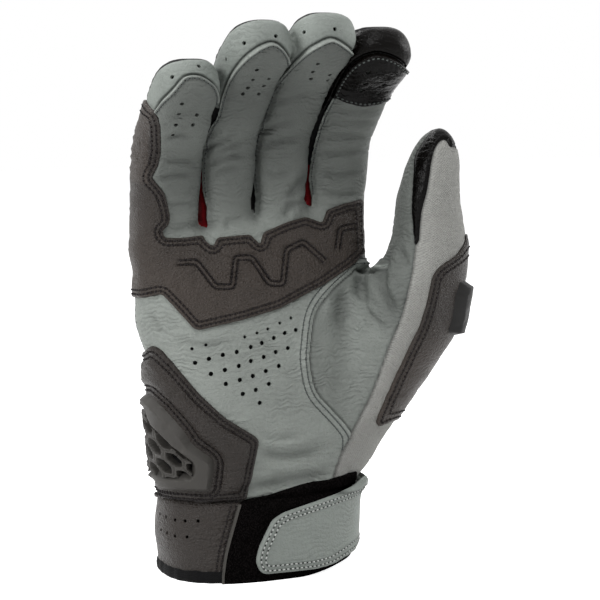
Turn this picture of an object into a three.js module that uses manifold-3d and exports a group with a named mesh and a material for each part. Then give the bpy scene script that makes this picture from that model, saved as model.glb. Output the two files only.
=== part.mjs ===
// A short-cuff leather motorcycle glove for the right hand, standing on its hem.
// +Z runs up to the fingertips, the palm faces -Y and the thumb is on the +X side.
// All lengths are millimetres.
import * as THREE from 'three';
import { mergeVertices } from 'three/addons/utils/BufferGeometryUtils.js';
import Module from 'manifold-3d';

const wasm = await Module();
wasm.setup();

// Materials' thicknesses and the gap that a seam keeps
const leather = 1.6;
const patchLeather = 1.3;
const liningCloth = 0.8;
const seamGap = 0.3;
const loopCloth = 1.4;
const hookCloth = 1.0;
const strapLeather = 2.0;
const bindingWidth = 5.0;
const bindingSwell = 1.2;

// The hand from the hem to the crotch of the fingers
const crotchHeight = 150;
const palmWidth = 101;
const cuffDepth = 54;
const cuffHeight = 33.4;
const knuckleBandHeight = 21;
const knuckleBandDrop = 7;
const sideSeamY = 1;

// Height, width, depth, centre x and centre y of each section of the palm
const palmSectionShares = [
  [0.000, 0.818, 1.000, -0.027, 0.000],
  [0.113, 0.826, 0.926, -0.027, 0.000],
  [0.220, 0.830, 0.870, -0.009, 0.000],
  [0.307, 0.879, 0.917, 0.006, -0.006],
  [0.400, 0.915, 0.963, 0.008, -0.019],
  [0.500, 0.922, 0.944, -0.000, -0.030],
  [0.613, 0.915, 0.889, -0.006, -0.030],
  [0.700, 0.941, 0.815, -0.025, -0.026],
  [0.787, 0.968, 0.704, -0.041, -0.020],
  [0.887, 0.976, 0.583, -0.043, -0.019],
  [0.960, 0.980, 0.500, -0.043, -0.009],
  [1.010, 0.980, 0.400, -0.043, 0.000],
];
const palmRoundness = 2.7;

// The thumb: height, centre x, centre y, half width and half depth of each level section
const thumbHeightShare = 1.22;
const thumbReachShare = 0.6733;
const thumbThicknessShare = 0.2178;
const thumbSectionShares = [
  [0.197, 0.445, -0.029, 0.648, 0.636],
  [0.251, 0.493, -0.044, 0.750, 0.773],
  [0.328, 0.596, -0.096, 0.841, 0.864],
  [0.410, 0.713, -0.147, 0.932, 0.909],
  [0.486, 0.804, -0.206, 1.007, 0.955],
  [0.530, 0.851, -0.250, 1.064, 0.955],
  [0.590, 0.884, -0.287, 1.050, 0.909],
  [0.656, 0.924, -0.326, 0.945, 0.855],
  [0.694, 0.957, -0.350, 0.852, 0.809],
  [0.738, 0.976, -0.368, 0.782, 0.764],
  [0.792, 0.963, -0.390, 0.695, 0.695],
  [0.842, 0.946, -0.412, 0.611, 0.645],
  [0.885, 0.955, -0.426, 0.525, 0.600],
  [0.929, 0.977, -0.438, 0.452, 0.536],
  [0.964, 0.993, -0.441, 0.341, 0.427],
  [0.989, 1.004, -0.441, 0.193, 0.273],
  [1.000, 1.000, -0.441, 0.055, 0.073],
];
const thumbRoundness = 2.2;
const thumbBandShare = 0.7514;
const thumbBandLength = 12;
const thumbTipShare = 0.9;

// The fingers. The lower part stands on the knuckle band, the pad part bends towards the palm.
const fingerLeanDegrees = 6;
const fingerBendDegrees = 30;
const tipBendDegrees = 18;
const fingerRoundness = 2.5;
const fingerBandLength = 15;
const fingertipLength = 11;
const capLength = 12;
// The last joint of a finger bends between these shares of its pad part
const tipBendFromShare = 0.36;
const tipBendToShare = 0.62;
// Closest that a fingertip's last section comes to its end
const closingShare = 0.995;
const fingertipPlaceShares = [0.45, 0.75, 0.93];
// Root x, tip x, width and depth against the palm's width, lower and pad part against the middle finger
const middleFingerLength = 101;
const fingerNames = ['pinky', 'ring', 'middle', 'index'];
const fingerShares = [
  [-0.4059, -0.4010, 0.2475, 0.2228, 0.2376, 0.3911],
  [-0.1663, -0.1337, 0.2099, 0.2129, 0.2970, 0.5198],
  [0.0624, 0.1238, 0.2158, 0.2129, 0.3069, 0.5446],
  [0.3149, 0.3812, 0.2475, 0.2228, 0.2871, 0.4901],
];
// Width and depth along a finger, against the share of its length
const fingerTaperShares = [
  [0.00, 1.00, 1.00],
  [0.30, 0.95, 0.96],
  [0.45, 0.90, 0.92],
  [0.70, 0.92, 0.90],
  [0.88, 0.94, 0.86],
  [1.00, 0.90, 0.80],
];

// Outlines on the front of the hand: x against half the palm's width, z against the crotch's height
const goreSeamShares = [
  [0.37, 0.83], [0.34, 0.79], [0.24, 0.71], [0.20, 0.63],
  [0.22, 0.56], [0.31, 0.49], [0.47, 0.43], [0.56, 0.385],
];
const clothSeamShares = [
  [0.50, 0.20], [0.55, 0.28], [0.60, 0.35], [0.67, 0.44],
  [0.80, 0.56], [0.96, 0.70], [1.03, 0.85], [1.06, 0.95],
];
const thumbPatchShares = [
  [0.88, 0.39], [1.01, 0.51], [1.10, 0.58], [1.19, 0.67], [1.23, 0.75],
  [1.26, 0.81], [1.30, 0.85], [1.44, 0.88], [1.73, 0.93], [2.20, 0.93], [2.20, 0.39],
];
const thumbArmourShares = [
  [1.48, 0.60], [1.50, 0.70], [1.46, 0.78], [1.56, 0.86], [1.70, 0.88], [2.20, 0.88], [2.20, 0.60],
];
const palmPatchLowShares = [
  [-1.40, 0.77], [-1.07, 0.77], [-0.89, 0.79], [-0.70, 0.69],
  [-0.33, 0.71], [0.24, 0.77], [0.54, 0.81], [0.83, 0.85], [1.20, 0.87],
];
const palmPatchTopShares = [
  [1.20, 1.02], [0.84, 1.02], [0.49, 1.00], [0.40, 0.97], [0.24, 0.98], [-0.08, 0.95],
  [-0.14, 0.91], [-0.19, 0.94], [-0.49, 0.94], [-0.54, 0.915], [-0.64, 0.94], [-1.40, 0.94],
];
const heelPatchShares = [
  [-1.40, 0.62], [-0.95, 0.62], [-0.93, 0.64], [-0.70, 0.52], [-0.25, 0.39], [-0.32, 0.23], [-1.40, 0.23],
];
const sliderShares = [
  [-1.20, 0.49], [-1.01, 0.49], [-0.88, 0.51], [-0.72, 0.43],
  [-0.58, 0.34], [-0.62, 0.26], [-0.87, 0.26], [-1.20, 0.28],
];
const sliderWindowShares = [
  [-0.98, 0.465], [-0.90, 0.465], [-0.80, 0.40], [-0.68, 0.34],
  [-0.68, 0.295], [-0.84, 0.295], [-0.98, 0.34],
];
const loopPatchShares = [
  [-0.37, 0.215], [0.45, 0.235], [0.75, 0.235], [0.95, 0.20], [0.95, 0.045], [-0.50, 0.045],
];
const strapShares = [
  [-0.28, 0.04], [-0.31, 0.08], [-0.24, 0.16], [-0.14, 0.185], [0.52, 0.215],
  [0.92, 0.25], [1.20, 0.25], [1.20, 0.025], [0.84, 0.025], [0.12, 0.03],
];
const strapHookShares = [
  [-0.22, 0.05], [-0.20, 0.15], [0.40, 0.19], [0.44, 0.05],
];
const guardShares = [
  [-0.98, 0.70], [-1.02, 0.76], [-0.90, 0.82], [-0.50, 0.845], [0.00, 0.85], [0.50, 0.845],
  [0.78, 0.82], [0.86, 0.76], [0.80, 0.68], [0.40, 0.64], [0.00, 0.63], [-0.50, 0.64],
];
const guardBaseMargin = 1.74;
// Far corners of the open outlines
const farShare = 2.2;
const highShare = 1.2;

// Moulded pieces
const sliderHeight = 2.6;
const windowHeight = 1.6;
const armourHeight = 3.0;
const guardHeight = 5.0;
const guardPadding = 1.8;

// The strap bends between these two depths at the thumb side of the cuff
const strapBendFrontY = -10;
const strapBendBackY = 0.6;
const strapRootWidth = 22;
const strapSleeveHeight = 50;

// Sides of the round forms
const palmSides = 32;
const thumbSides = 20;
const fingerSides = 16;
const linerSides = 20;
const cutReach = 400;

// Angles round a finger, in degrees from +X through the back
const frontAngles = [222, 318];
const padAngles = [226, 314];
const sideAngles = [150, 224];
const fullTurn = 360;

const halfPalm = palmWidth / 2;
const knuckleBandHigh = crotchHeight - knuckleBandDrop;
const knuckleBandLow = knuckleBandHigh - knuckleBandHeight;
const thumbHeight = crotchHeight * thumbHeightShare;
const thumbReach = palmWidth * thumbReachShare;
const thumbThickness = palmWidth * thumbThicknessShare;
const thumbBandLow = thumbHeight * thumbBandShare;
const thumbBandHigh = thumbBandLow + thumbBandLength;
const fingers = fingerShares.map(([rootX, tipX, width, depth, lower, upper], i) => ({
  name: fingerNames[i],
  rootX: rootX * palmWidth,
  tipX: tipX * palmWidth,
  width: width * palmWidth,
  depth: depth * palmWidth,
  lower: lower * middleFingerLength,
  upper: upper * middleFingerLength,
}));
const fingerLean = THREE.MathUtils.degToRad(fingerLeanDegrees);
const fingerBend = THREE.MathUtils.degToRad(fingerBendDegrees);
const fingertipBend = THREE.MathUtils.degToRad(tipBendDegrees);
const patchLow = seamGap;
const patchTop = patchLow + patchLeather;

// Colours, roughness and metalness
const finishes = {
  paleLeather: { color: 0x808a84, roughness: 0.62 },
  darkLeather: { color: 0x4c4845, roughness: 0.7 },
  blackLeather: { color: 0x1a1817, roughness: 0.6 },
  moulded: { color: 0x474543, roughness: 0.5 },
  paleCloth: { color: 0xb4b6b5, roughness: 0.9 },
  darkCloth: { color: 0x2a2a2c, roughness: 0.95 },
  redCloth: { color: 0x7c1016, roughness: 0.9 },
  loopCloth: { color: 0x141414, roughness: 1.0 },
  binding: { color: 0x1c1c1d, roughness: 0.9 },
  lining: { color: 0x3a3b3d, roughness: 1.0 },
};

const fourchetteFinishes = ['redCloth', 'darkCloth', 'redCloth'];

function materialOf(finish) {
  return new THREE.MeshStandardMaterial({ ...finishes[finish], metalness: 0 });
}

// Closed meshes to solids and back
function solidOf(geometry) {
  const bare = geometry.clone();
  bare.deleteAttribute('normal');
  bare.deleteAttribute('uv');
  const merged = mergeVertices(bare);
  return new wasm.Manifold(new wasm.Mesh({
    numProp: 3,
    vertProperties: new Float32Array(merged.attributes.position.array),
    triVerts: new Uint32Array(merged.index.array),
  }));
}

function geometryOf(solid) {
  const mesh = solid.getMesh();
  const geometry = new THREE.BufferGeometry();
  geometry.setAttribute('position', new THREE.BufferAttribute(mesh.vertProperties, 3));
  geometry.setIndex(new THREE.BufferAttribute(mesh.triVerts, 1));
  geometry.computeVertexNormals();
  return geometry;
}

// A point of a section at an angle from its first axis, on a rounded-off rectangle
function sectionPoint(section, angle) {
  const power = 2 / section.roundness;
  const across = Math.cos(angle);
  const along = Math.sin(angle);
  const x = Math.sign(across) * Math.abs(across) ** power * section.halfWidth;
  const y = Math.sign(along) * Math.abs(along) ** power * section.halfDepth;
  return section.centre.clone().addScaledVector(section.wide, x).addScaledVector(section.deep, y);
}

function trianglesGeometry(points, triangles) {
  const geometry = new THREE.BufferGeometry();
  const positions = points.flatMap((point) => point.toArray());
  geometry.setAttribute('position', new THREE.Float32BufferAttribute(positions, 3));
  geometry.setIndex(triangles);
  return geometry;
}

// A closed tube through sections, which turn counterclockwise as seen from its far end
function loftSolid(sections, sides) {
  const points = [];
  for (const section of sections) {
    for (let j = 0; j < sides; j += 1) {
      points.push(sectionPoint(section, (2 * Math.PI * j) / sides));
    }
  }
  const triangles = [];
  for (let i = 0; i + 1 < sections.length; i += 1) {
    for (let j = 0; j < sides; j += 1) {
      const next = (j + 1) % sides;
      const a = i * sides + j;
      const b = i * sides + next;
      triangles.push(a, b, b + sides, a, b + sides, a + sides);
    }
  }
  const last = (sections.length - 1) * sides;
  const startCentre = points.push(sections[0].centre.clone()) - 1;
  const endCentre = points.push(sections[sections.length - 1].centre.clone()) - 1;
  for (let j = 0; j < sides; j += 1) {
    const next = (j + 1) % sides;
    triangles.push(startCentre, next, j, endCentre, last + j, last + next);
  }
  return solidOf(trianglesGeometry(points, triangles));
}

// A value read between the rows of a table whose first column is the place
function tableValue(rows, place, column) {
  const last = rows.length - 1;
  if (place <= rows[0][0]) return rows[0][column];
  if (place >= rows[last][0]) return rows[last][column];
  const next = rows.findIndex((row) => row[0] >= place);
  const low = rows[next - 1];
  const high = rows[next];
  return THREE.MathUtils.lerp(low[column], high[column], (place - low[0]) / (high[0] - low[0]));
}

// The palm: level sections, grown outwards by an offset
function palmSection(height, offset) {
  const place = height / crotchHeight;
  return {
    centre: new THREE.Vector3(
      tableValue(palmSectionShares, place, 3) * palmWidth,
      tableValue(palmSectionShares, place, 4) * cuffDepth,
      height,
    ),
    wide: new THREE.Vector3(1, 0, 0),
    deep: new THREE.Vector3(0, 1, 0),
    halfWidth: (tableValue(palmSectionShares, place, 1) * palmWidth) / 2 + offset,
    halfDepth: (tableValue(palmSectionShares, place, 2) * cuffDepth) / 2 + offset,
    roundness: palmRoundness,
  };
}

function palmSolid(low, high, offset, sides = palmSides) {
  const heights = palmSectionShares
    .map((row) => row[0] * crotchHeight)
    .filter((height) => height > low + leather && height < high - leather);
  return loftSolid([low, ...heights, high].map((height) => palmSection(height, offset)), sides);
}

// The thumb: level sections too, the top ones closing its tip
function thumbSection(height, offset) {
  const place = height / thumbHeight;
  const tipDrop = Math.max(-offset, 0) * Math.max(0, (place - thumbTipShare) / (1 - thumbTipShare));
  return {
    centre: new THREE.Vector3(
      tableValue(thumbSectionShares, place, 1) * thumbReach,
      tableValue(thumbSectionShares, place, 2) * thumbReach,
      height - tipDrop,
    ),
    wide: new THREE.Vector3(1, 0, 0),
    deep: new THREE.Vector3(0, 1, 0),
    halfWidth: Math.max(tableValue(thumbSectionShares, place, 3) * thumbThickness + offset, seamGap),
    halfDepth: Math.max(tableValue(thumbSectionShares, place, 4) * thumbThickness + offset, seamGap),
    roundness: thumbRoundness,
  };
}

function thumbSolid(low, high, offset, sides = thumbSides) {
  const heights = thumbSectionShares
    .map((row) => row[0] * thumbHeight)
    .filter((height) => height > low + seamGap && height < high - seamGap);
  return loftSolid([low, ...heights, high].map((height) => thumbSection(height, offset)), sides);
}

const thumbRootHeight = thumbSectionShares[0][0] * thumbHeight;
const fingerRowTop = palmSectionShares[palmSectionShares.length - 1][0] * crotchHeight;

// Fingers: a straight lower part, a bend and a straight pad part, in a plane of constant x
function fingerLength(finger) {
  return finger.lower + fingerBandLength + finger.upper;
}

// The spine is a chain of stretches, each with its length and the turn that it adds
function spineStretches(finger) {
  const tipBend = finger.upper * (tipBendToShare - tipBendFromShare);
  return [
    { length: finger.lower, turn: 0 },
    { length: fingerBandLength, turn: fingerBend },
    { length: finger.upper * tipBendFromShare, turn: 0 },
    { length: tipBend, turn: fingertipBend },
    { length: cutReach, turn: 0 },
  ];
}

function spineAt(finger, along) {
  let y = 0;
  let z = knuckleBandHigh;
  let turn = fingerLean;
  let left = along;
  for (const stretch of spineStretches(finger)) {
    const step = Math.min(left, stretch.length);
    const nextTurn = turn + (stretch.turn * Math.max(step, 0)) / stretch.length;
    const heading = (turn + nextTurn) / 2;
    y -= Math.sin(heading) * step;
    z += Math.cos(heading) * step;
    turn = nextTurn;
    left -= step;
    if (left <= 0) break;
  }
  return { y, z, turn };
}

function fingerSection(finger, along, offset) {
  const spine = spineAt(finger, along);
  const length = fingerLength(finger);
  const place = THREE.MathUtils.clamp(along / length, 0, 1);
  const swing = THREE.MathUtils.smoothstep(along, finger.lower, length);
  const tipFrom = length - fingertipLength;
  const round = THREE.MathUtils.clamp((along - tipFrom) / (fingertipLength + offset), 0, closingShare);
  const closing = Math.sqrt(1 - round * round);
  return {
    centre: new THREE.Vector3(THREE.MathUtils.lerp(finger.rootX, finger.tipX, swing), spine.y, spine.z),
    wide: new THREE.Vector3(1, 0, 0),
    deep: new THREE.Vector3(0, Math.cos(spine.turn), Math.sin(spine.turn)),
    halfWidth: ((tableValue(fingerTaperShares, place, 1) * finger.width) / 2 + offset) * closing,
    halfDepth: ((tableValue(fingerTaperShares, place, 2) * finger.depth) / 2 + offset) * closing,
    roundness: fingerRoundness,
  };
}

// Places along a finger from one to another, closer together round the tip
function fingerPlaces(finger, from, to) {
  const length = fingerLength(finger);
  const padFrom = finger.lower + fingerBandLength;
  const tipFrom = length - fingertipLength;
  const wanted = [
    finger.lower, finger.lower + fingerBandLength / 2, padFrom, padFrom + finger.upper * tipBendFromShare,
    padFrom + (finger.upper * (tipBendFromShare + tipBendToShare)) / 2,
    padFrom + finger.upper * tipBendToShare, tipFrom,
    ...fingertipPlaceShares.map((share) => tipFrom + fingertipLength * share),
  ];
  return [from, ...wanted.filter((place) => place > from + seamGap && place < to - seamGap), to];
}

function fingerSolid(finger, from, to, offset) {
  const places = fingerPlaces(finger, from, to);
  return loftSolid(places.map((place) => fingerSection(finger, place, offset)), fingerSides);
}

// A curved panel on a finger: between two angles, two places and two offsets
function fingerPanel(finger, [from, to], [fromAngle, toAngle], [low, high]) {
  const places = fingerPlaces(finger, from, to);
  const span = THREE.MathUtils.degToRad(toAngle - fromAngle);
  const steps = Math.max(3, Math.round((fingerSides * span) / (2 * Math.PI)));
  const points = [];
  for (const offset of [low, high]) {
    for (const place of places) {
      const section = fingerSection(finger, place, offset);
      for (let j = 0; j <= steps; j += 1) {
        points.push(sectionPoint(section, THREE.MathUtils.degToRad(fromAngle) + (span * j) / steps));
      }
    }
  }
  const row = steps + 1;
  const layer = places.length * row;
  const triangles = [];
  const quad = (a, b, c, d) => triangles.push(a, b, c, a, c, d);
  for (let i = 0; i + 1 < places.length; i += 1) {
    for (let j = 0; j < steps; j += 1) {
      const inner = i * row + j;
      const outer = inner + layer;
      quad(outer, outer + 1, outer + row + 1, outer + row);
      quad(inner + row, inner + row + 1, inner + 1, inner);
    }
    const start = i * row;
    const end = start + steps;
    quad(start, start + layer, start + row + layer, start + row);
    quad(end + row, end + row + layer, end + layer, end);
  }
  const topRow = (places.length - 1) * row;
  for (let j = 0; j < steps; j += 1) {
    quad(j, j + 1, j + 1 + layer, j + layer);
    quad(topRow + j + layer, topRow + j + 1 + layer, topRow + j + 1, topRow + j);
  }
  return solidOf(trianglesGeometry(points, triangles));
}

function largestOf(solid) {
  return solid.decompose().sort((a, b) => b.volume() - a.volume())[0];
}

// Cutting tools
function frontPrism(shares, grow = 0) {
  const centreX = shares.reduce((sum, point) => sum + point[0], 0) / shares.length;
  const centreZ = shares.reduce((sum, point) => sum + point[1], 0) / shares.length;
  const points = shares.map(([x, z]) => {
    const point = new THREE.Vector2(x * halfPalm, z * crotchHeight);
    const outward = point.clone().sub(new THREE.Vector2(centreX * halfPalm, centreZ * crotchHeight));
    return point.addScaledVector(outward.normalize(), grow);
  });
  const shape = new THREE.Shape(points);
  const geometry = new THREE.ExtrudeGeometry(shape, { depth: cutReach, bevelEnabled: false });
  geometry.translate(0, 0, -cutReach / 2);
  geometry.rotateX(Math.PI / 2);
  return solidOf(geometry);
}

function sidePrism(points, fromX, toX) {
  const shape = new THREE.Shape(points.map(([y, z]) => new THREE.Vector2(y, z)));
  const geometry = new THREE.ExtrudeGeometry(shape, { depth: toX - fromX, bevelEnabled: false });
  geometry.rotateY(Math.PI / 2);
  geometry.rotateX(Math.PI / 2);
  geometry.translate(fromX, 0, 0);
  return solidOf(geometry);
}

function block(lowX, highX, lowY, highY, lowZ, highZ) {
  const geometry = new THREE.BoxGeometry(highX - lowX, highY - lowY, highZ - lowZ);
  geometry.translate((lowX + highX) / 2, (lowY + highY) / 2, (lowZ + highZ) / 2);
  return solidOf(geometry);
}

const level = (low, high) => block(-cutReach, cutReach, -cutReach, cutReach, low, high);
const before = (y) => block(-cutReach, cutReach, -cutReach, y, -cutReach, cutReach);
const behind = (y) => block(-cutReach, cutReach, y, cutReach, -cutReach, cutReach);
const frontHalf = before(sideSeamY - seamGap / 2);
const backHalf = behind(sideSeamY + seamGap / 2);

const glove = new THREE.Group();

function addPiece(name, solid, finish) {
  const piece = new THREE.Mesh(geometryOf(solid), materialOf(finish));
  piece.name = name;
  glove.add(piece);
  return piece;
}

// The hand's skin: palm and thumb root joined, between two offsets
function handSolid(offset, low, high) {
  const palm = palmSolid(low, Math.min(high, knuckleBandLow), offset);
  const thumbFrom = Math.max(thumbRootHeight, low);
  return high > thumbFrom ? palm.add(thumbSolid(thumbFrom, thumbBandLow, offset)) : palm;
}

function handLayer(low, high) {
  const outside = handSolid(high, 0, knuckleBandLow);
  const inside = palmSolid(-leather, knuckleBandLow + leather, low)
    .add(thumbSolid(thumbRootHeight, thumbBandLow + leather, low));
  return outside.subtract(inside);
}

const handSkin = handLayer(-leather, 0);
const handPatchLayer = handLayer(patchLow, patchTop);

function goreCutter(shift) {
  const seam = goreSeamShares.map(([x, z]) => [x + shift, z]);
  const [topX] = goreSeamShares[0];
  const [, lowZ] = goreSeamShares[goreSeamShares.length - 1];
  return frontPrism([...seam, [farShare, lowZ], [farShare, highShare], [topX, highShare]]);
}

function clothCutter(shift) {
  const seam = clothSeamShares.map(([x, z]) => [x + shift, z]);
  const [, lowZ] = clothSeamShares[0];
  const [, highZ] = clothSeamShares[clothSeamShares.length - 1];
  return frontPrism([...seam, [farShare, highZ], [farShare, lowZ]]);
}

function addHandPanels() {
  const seamShare = seamGap / halfPalm;
  const upper = handSkin.intersect(level(cuffHeight, cutReach));
  const front = upper.intersect(frontHalf);
  const besideCloth = front.subtract(clothCutter(-seamShare));
  addPiece('palm_panel', besideCloth.subtract(goreCutter(-seamShare)), 'paleLeather');
  addPiece('thumb_gore_panel', besideCloth.intersect(goreCutter(0)), 'paleLeather');
  addPiece('thumb_cloth_panel', front.intersect(clothCutter(0)), 'paleCloth');
  addPiece('back_panel', upper.intersect(backHalf), 'paleCloth');
}

function addCuff() {
  const sleeve = handSkin.intersect(level(bindingWidth + seamGap, cuffHeight - seamGap));
  addPiece('cuff_palm_panel', sleeve.intersect(frontHalf), 'darkLeather');
  addPiece('cuff_back_panel', sleeve.intersect(backHalf), 'darkCloth');
  const bindingOut = palmSolid(0, bindingWidth, bindingSwell);
  const bindingIn = palmSolid(-leather, bindingWidth + leather, -leather);
  addPiece('hem_binding', bindingOut.subtract(bindingIn), 'binding');
}

function addLiner() {
  const linerOut = palmSolid(leather, knuckleBandLow - leather, -leather - seamGap, linerSides);
  const linerIn = palmSolid(0, knuckleBandLow, -leather - seamGap - liningCloth, linerSides);
  const thumbHole = thumbSolid(thumbRootHeight, knuckleBandLow, -leather - seamGap);
  addPiece('hand_liner', linerOut.subtract(linerIn).subtract(thumbHole), 'lining');
}

function addPatches() {
  const front = handPatchLayer.intersect(frontHalf);
  const palmPatch = frontPrism([...palmPatchLowShares, ...palmPatchTopShares]);
  addPiece('palm_patch', front.intersect(palmPatch).intersect(level(0, knuckleBandLow)), 'darkLeather');
  const heelPatch = front.intersect(frontPrism(heelPatchShares));
  addPiece('heel_patch', heelPatch, 'darkLeather');
  const thumbPatch = handPatchLayer.intersect(frontPrism(thumbPatchShares)).intersect(before(sideSeamY));
  addPiece('thumb_patch', thumbPatch, 'darkLeather');

  const sliderLow = patchTop + seamGap;
  const sliderLayer = handLayer(sliderLow, sliderLow + sliderHeight).intersect(frontHalf);
  const slider = sliderLayer.intersect(frontPrism(sliderShares));
  addPiece('palm_slider', slider.subtract(frontPrism(sliderWindowShares, seamGap)), 'moulded');
  const windowLayer = handLayer(sliderLow, sliderLow + windowHeight).intersect(frontHalf);
  addPiece('slider_window', windowLayer.intersect(frontPrism(sliderWindowShares)), 'moulded');
  const armourLayer = handLayer(sliderLow, sliderLow + armourHeight).intersect(before(sideSeamY));
  addPiece('thumb_armour', armourLayer.intersect(frontPrism(thumbArmourShares)), 'moulded');

  const guardBase = handLayer(patchLow, patchLow + guardPadding).intersect(backHalf);
  const belowBand = level(0, knuckleBandLow);
  const guardBaseOutline = frontPrism(guardShares, guardBaseMargin).intersect(belowBand);
  addPiece('knuckle_guard_base', guardBase.intersect(guardBaseOutline), 'darkLeather');
  const guardLow = patchLow + guardPadding + seamGap;
  const guardLayer = handLayer(guardLow, guardLow + guardHeight).intersect(backHalf);
  addPiece('knuckle_guard', guardLayer.intersect(frontPrism(guardShares)).intersect(belowBand), 'moulded');
}

function addStrap() {
  const loopTop = patchLow + loopCloth;
  const hookLow = loopTop + seamGap;
  const strapLow = hookLow + hookCloth + seamGap;
  const strapTop = strapLow + strapLeather;
  const aboveBinding = level(bindingWidth + seamGap, cutReach);
  const loopLayer = handLayer(patchLow, loopTop).intersect(before(strapBendFrontY)).intersect(aboveBinding);
  addPiece('loop_patch', loopLayer.intersect(frontPrism(loopPatchShares)), 'loopCloth');
  const cuffLayer = (low, high) => palmSolid(0, strapSleeveHeight, high)
    .subtract(palmSolid(-leather, strapSleeveHeight + leather, low));
  const outline = frontPrism(strapShares);
  const hook = cuffLayer(hookLow, hookLow + hookCloth).intersect(frontPrism(strapHookShares));
  addPiece('strap_hook', hook.intersect(before(strapBendFrontY)), 'loopCloth');
  const layer = cuffLayer(strapLow, strapTop).intersect(outline);
  addPiece('strap', layer.intersect(before(strapBendFrontY)), 'paleLeather');
  const outerSide = (from, frontY, backY) => block(from, cutReach, frontY, backY, -cutReach, cutReach);
  const bend = layer.intersect(outerSide(0, strapBendFrontY + seamGap, strapBendBackY - seamGap));
  addPiece('strap_bend', bend, 'paleLeather');
  const rootBlock = outerSide(halfPalm - strapRootWidth, strapBendBackY, cutReach);
  const root = cuffLayer(patchLow, strapTop).intersect(outline).intersect(rootBlock).intersect(aboveBinding);
  const thumbRoot = thumbSolid(thumbRootHeight, knuckleBandLow, seamGap);
  addPiece('strap_root', largestOf(root.subtract(thumbRoot)), 'paleLeather');
}

// The knuckle band, which folds with the row of fingers
function addKnuckleBand() {
  const low = knuckleBandLow + seamGap;
  const high = knuckleBandHigh;
  const ring = (inside, outside) => palmSolid(low, high, outside)
    .subtract(palmSolid(low - leather, high + leather, inside));
  const band = ring(-leather, 0);
  addPiece('knuckle_band_palm', band.intersect(frontHalf), 'paleLeather');
  addPiece('knuckle_band_back', band.intersect(backHalf), 'darkCloth');
  const palmPatch = frontPrism([...palmPatchLowShares, ...palmPatchTopShares]);
  const patch = ring(patchLow, patchTop).intersect(frontHalf).intersect(palmPatch);
  addPiece('palm_patch_fold', patch, 'darkLeather');
}

// The row of fingers up to the bends: palm side, back and the walls between the fingers
function addFingerRow() {
  const low = knuckleBandHigh + seamGap;
  let outside = palmSolid(low, fingerRowTop, 0);
  let inside = palmSolid(low - leather, fingerRowTop - leather * 2, -leather);
  for (const finger of fingers) {
    outside = outside.add(fingerSolid(finger, seamGap, finger.lower, 0));
    inside = inside.add(fingerSolid(finger, -leather, finger.lower + leather, -leather));
  }
  const row = outside.subtract(inside).intersect(level(low, cutReach));
  const pinky = fingers[0];
  const index = fingers[fingers.length - 1];
  const wallFrom = crotchHeight - leather;
  const wallHalf = index.depth / 4;
  const spineLine = (shift) => {
    const rise = cutReach / 2;
    const sway = -Math.tan(fingerLean) * (rise - knuckleBandHigh);
    return [[shift - Math.tan(fingerLean) * (wallFrom - knuckleBandHigh), wallFrom], [shift + sway, rise]];
  };
  const walls = (grow) => {
    const [frontLow, frontHigh] = spineLine(-wallHalf - grow);
    const [backLow, backHigh] = spineLine(wallHalf + grow);
    frontLow[1] -= grow;
    backLow[1] -= grow;
    return sidePrism([frontLow, backLow, backHigh, frontHigh], pinky.rootX - grow, index.rootX + grow);
  };
  const fourchettes = row.intersect(walls(0)).decompose()
    .sort((a, b) => a.boundingBox().min[0] - b.boundingBox().min[0]);
  fourchettes.forEach((wall, i) => {
    const name = `${fingers[i].name}_${fingers[i + 1].name}_fourchette`;
    addPiece(name, wall, fourchetteFinishes[i]);
  });
  const palmPatch = frontPrism([...palmPatchLowShares, ...palmPatchTopShares]);
  const grown = (offset, overrun) => fingers.reduce(
    (sum, finger) => sum.add(fingerSolid(finger, -overrun, finger.lower + overrun, offset)),
    palmSolid(low - overrun, fingerRowTop + offset, offset),
  );
  const patchBlock = block(0, cutReach, -cutReach, sideSeamY, low, cutReach);
  const patchLayer = grown(patchTop, 0).subtract(grown(patchLow, leather));
  const patch = largestOf(patchLayer.intersect(palmPatch).intersect(patchBlock));
  addPiece('palm_patch_top', patch, 'darkLeather');

  const rest = row.subtract(walls(seamGap));
  const [seamLow, seamHigh] = spineLine(0);
  const frontSide = (shift) => sidePrism([
    [-cutReach, 0], [seamLow[0] + shift, 0], [seamLow[0] + shift, seamLow[1]],
    [seamHigh[0] + shift, seamHigh[1]], [-cutReach, seamHigh[1]],
  ], -cutReach, cutReach);
  addPiece('finger_row_palm', rest.intersect(frontSide(-seamGap / 2)), 'paleLeather');
  addPiece('finger_row_back', rest.subtract(frontSide(seamGap / 2)), 'darkCloth');
}

function addFinger(finger) {
  const bendLow = finger.lower + seamGap;
  const bendHigh = finger.lower + fingerBandLength - seamGap;
  const padFrom = finger.lower + fingerBandLength;
  const length = fingerLength(finger);
  const capFrom = length - capLength;
  const angleGap = THREE.MathUtils.radToDeg(seamGap / (finger.width / 2));
  const bend = fingerSolid(finger, bendLow, bendHigh, 0)
    .subtract(fingerSolid(finger, bendLow - leather, bendHigh + leather, -leather));
  addPiece(`${finger.name}_bend`, bend, 'darkCloth');
  const places = [padFrom, capFrom - seamGap];
  addPiece(`${finger.name}_pad`, fingerPanel(finger, places, frontAngles, [-leather, 0]), 'paleLeather');
  const backAngles = [frontAngles[1] + angleGap, frontAngles[0] + fullTurn - angleGap];
  addPiece(`${finger.name}_back`, fingerPanel(finger, places, backAngles, [-leather, 0]), 'darkCloth');
  const cap = fingerSolid(finger, capFrom, length, 0)
    .subtract(fingerSolid(finger, capFrom - leather, length - leather, -leather));
  addPiece(`${finger.name}_cap`, cap, finger.name === 'index' ? 'blackLeather' : 'paleLeather');
}

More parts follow.
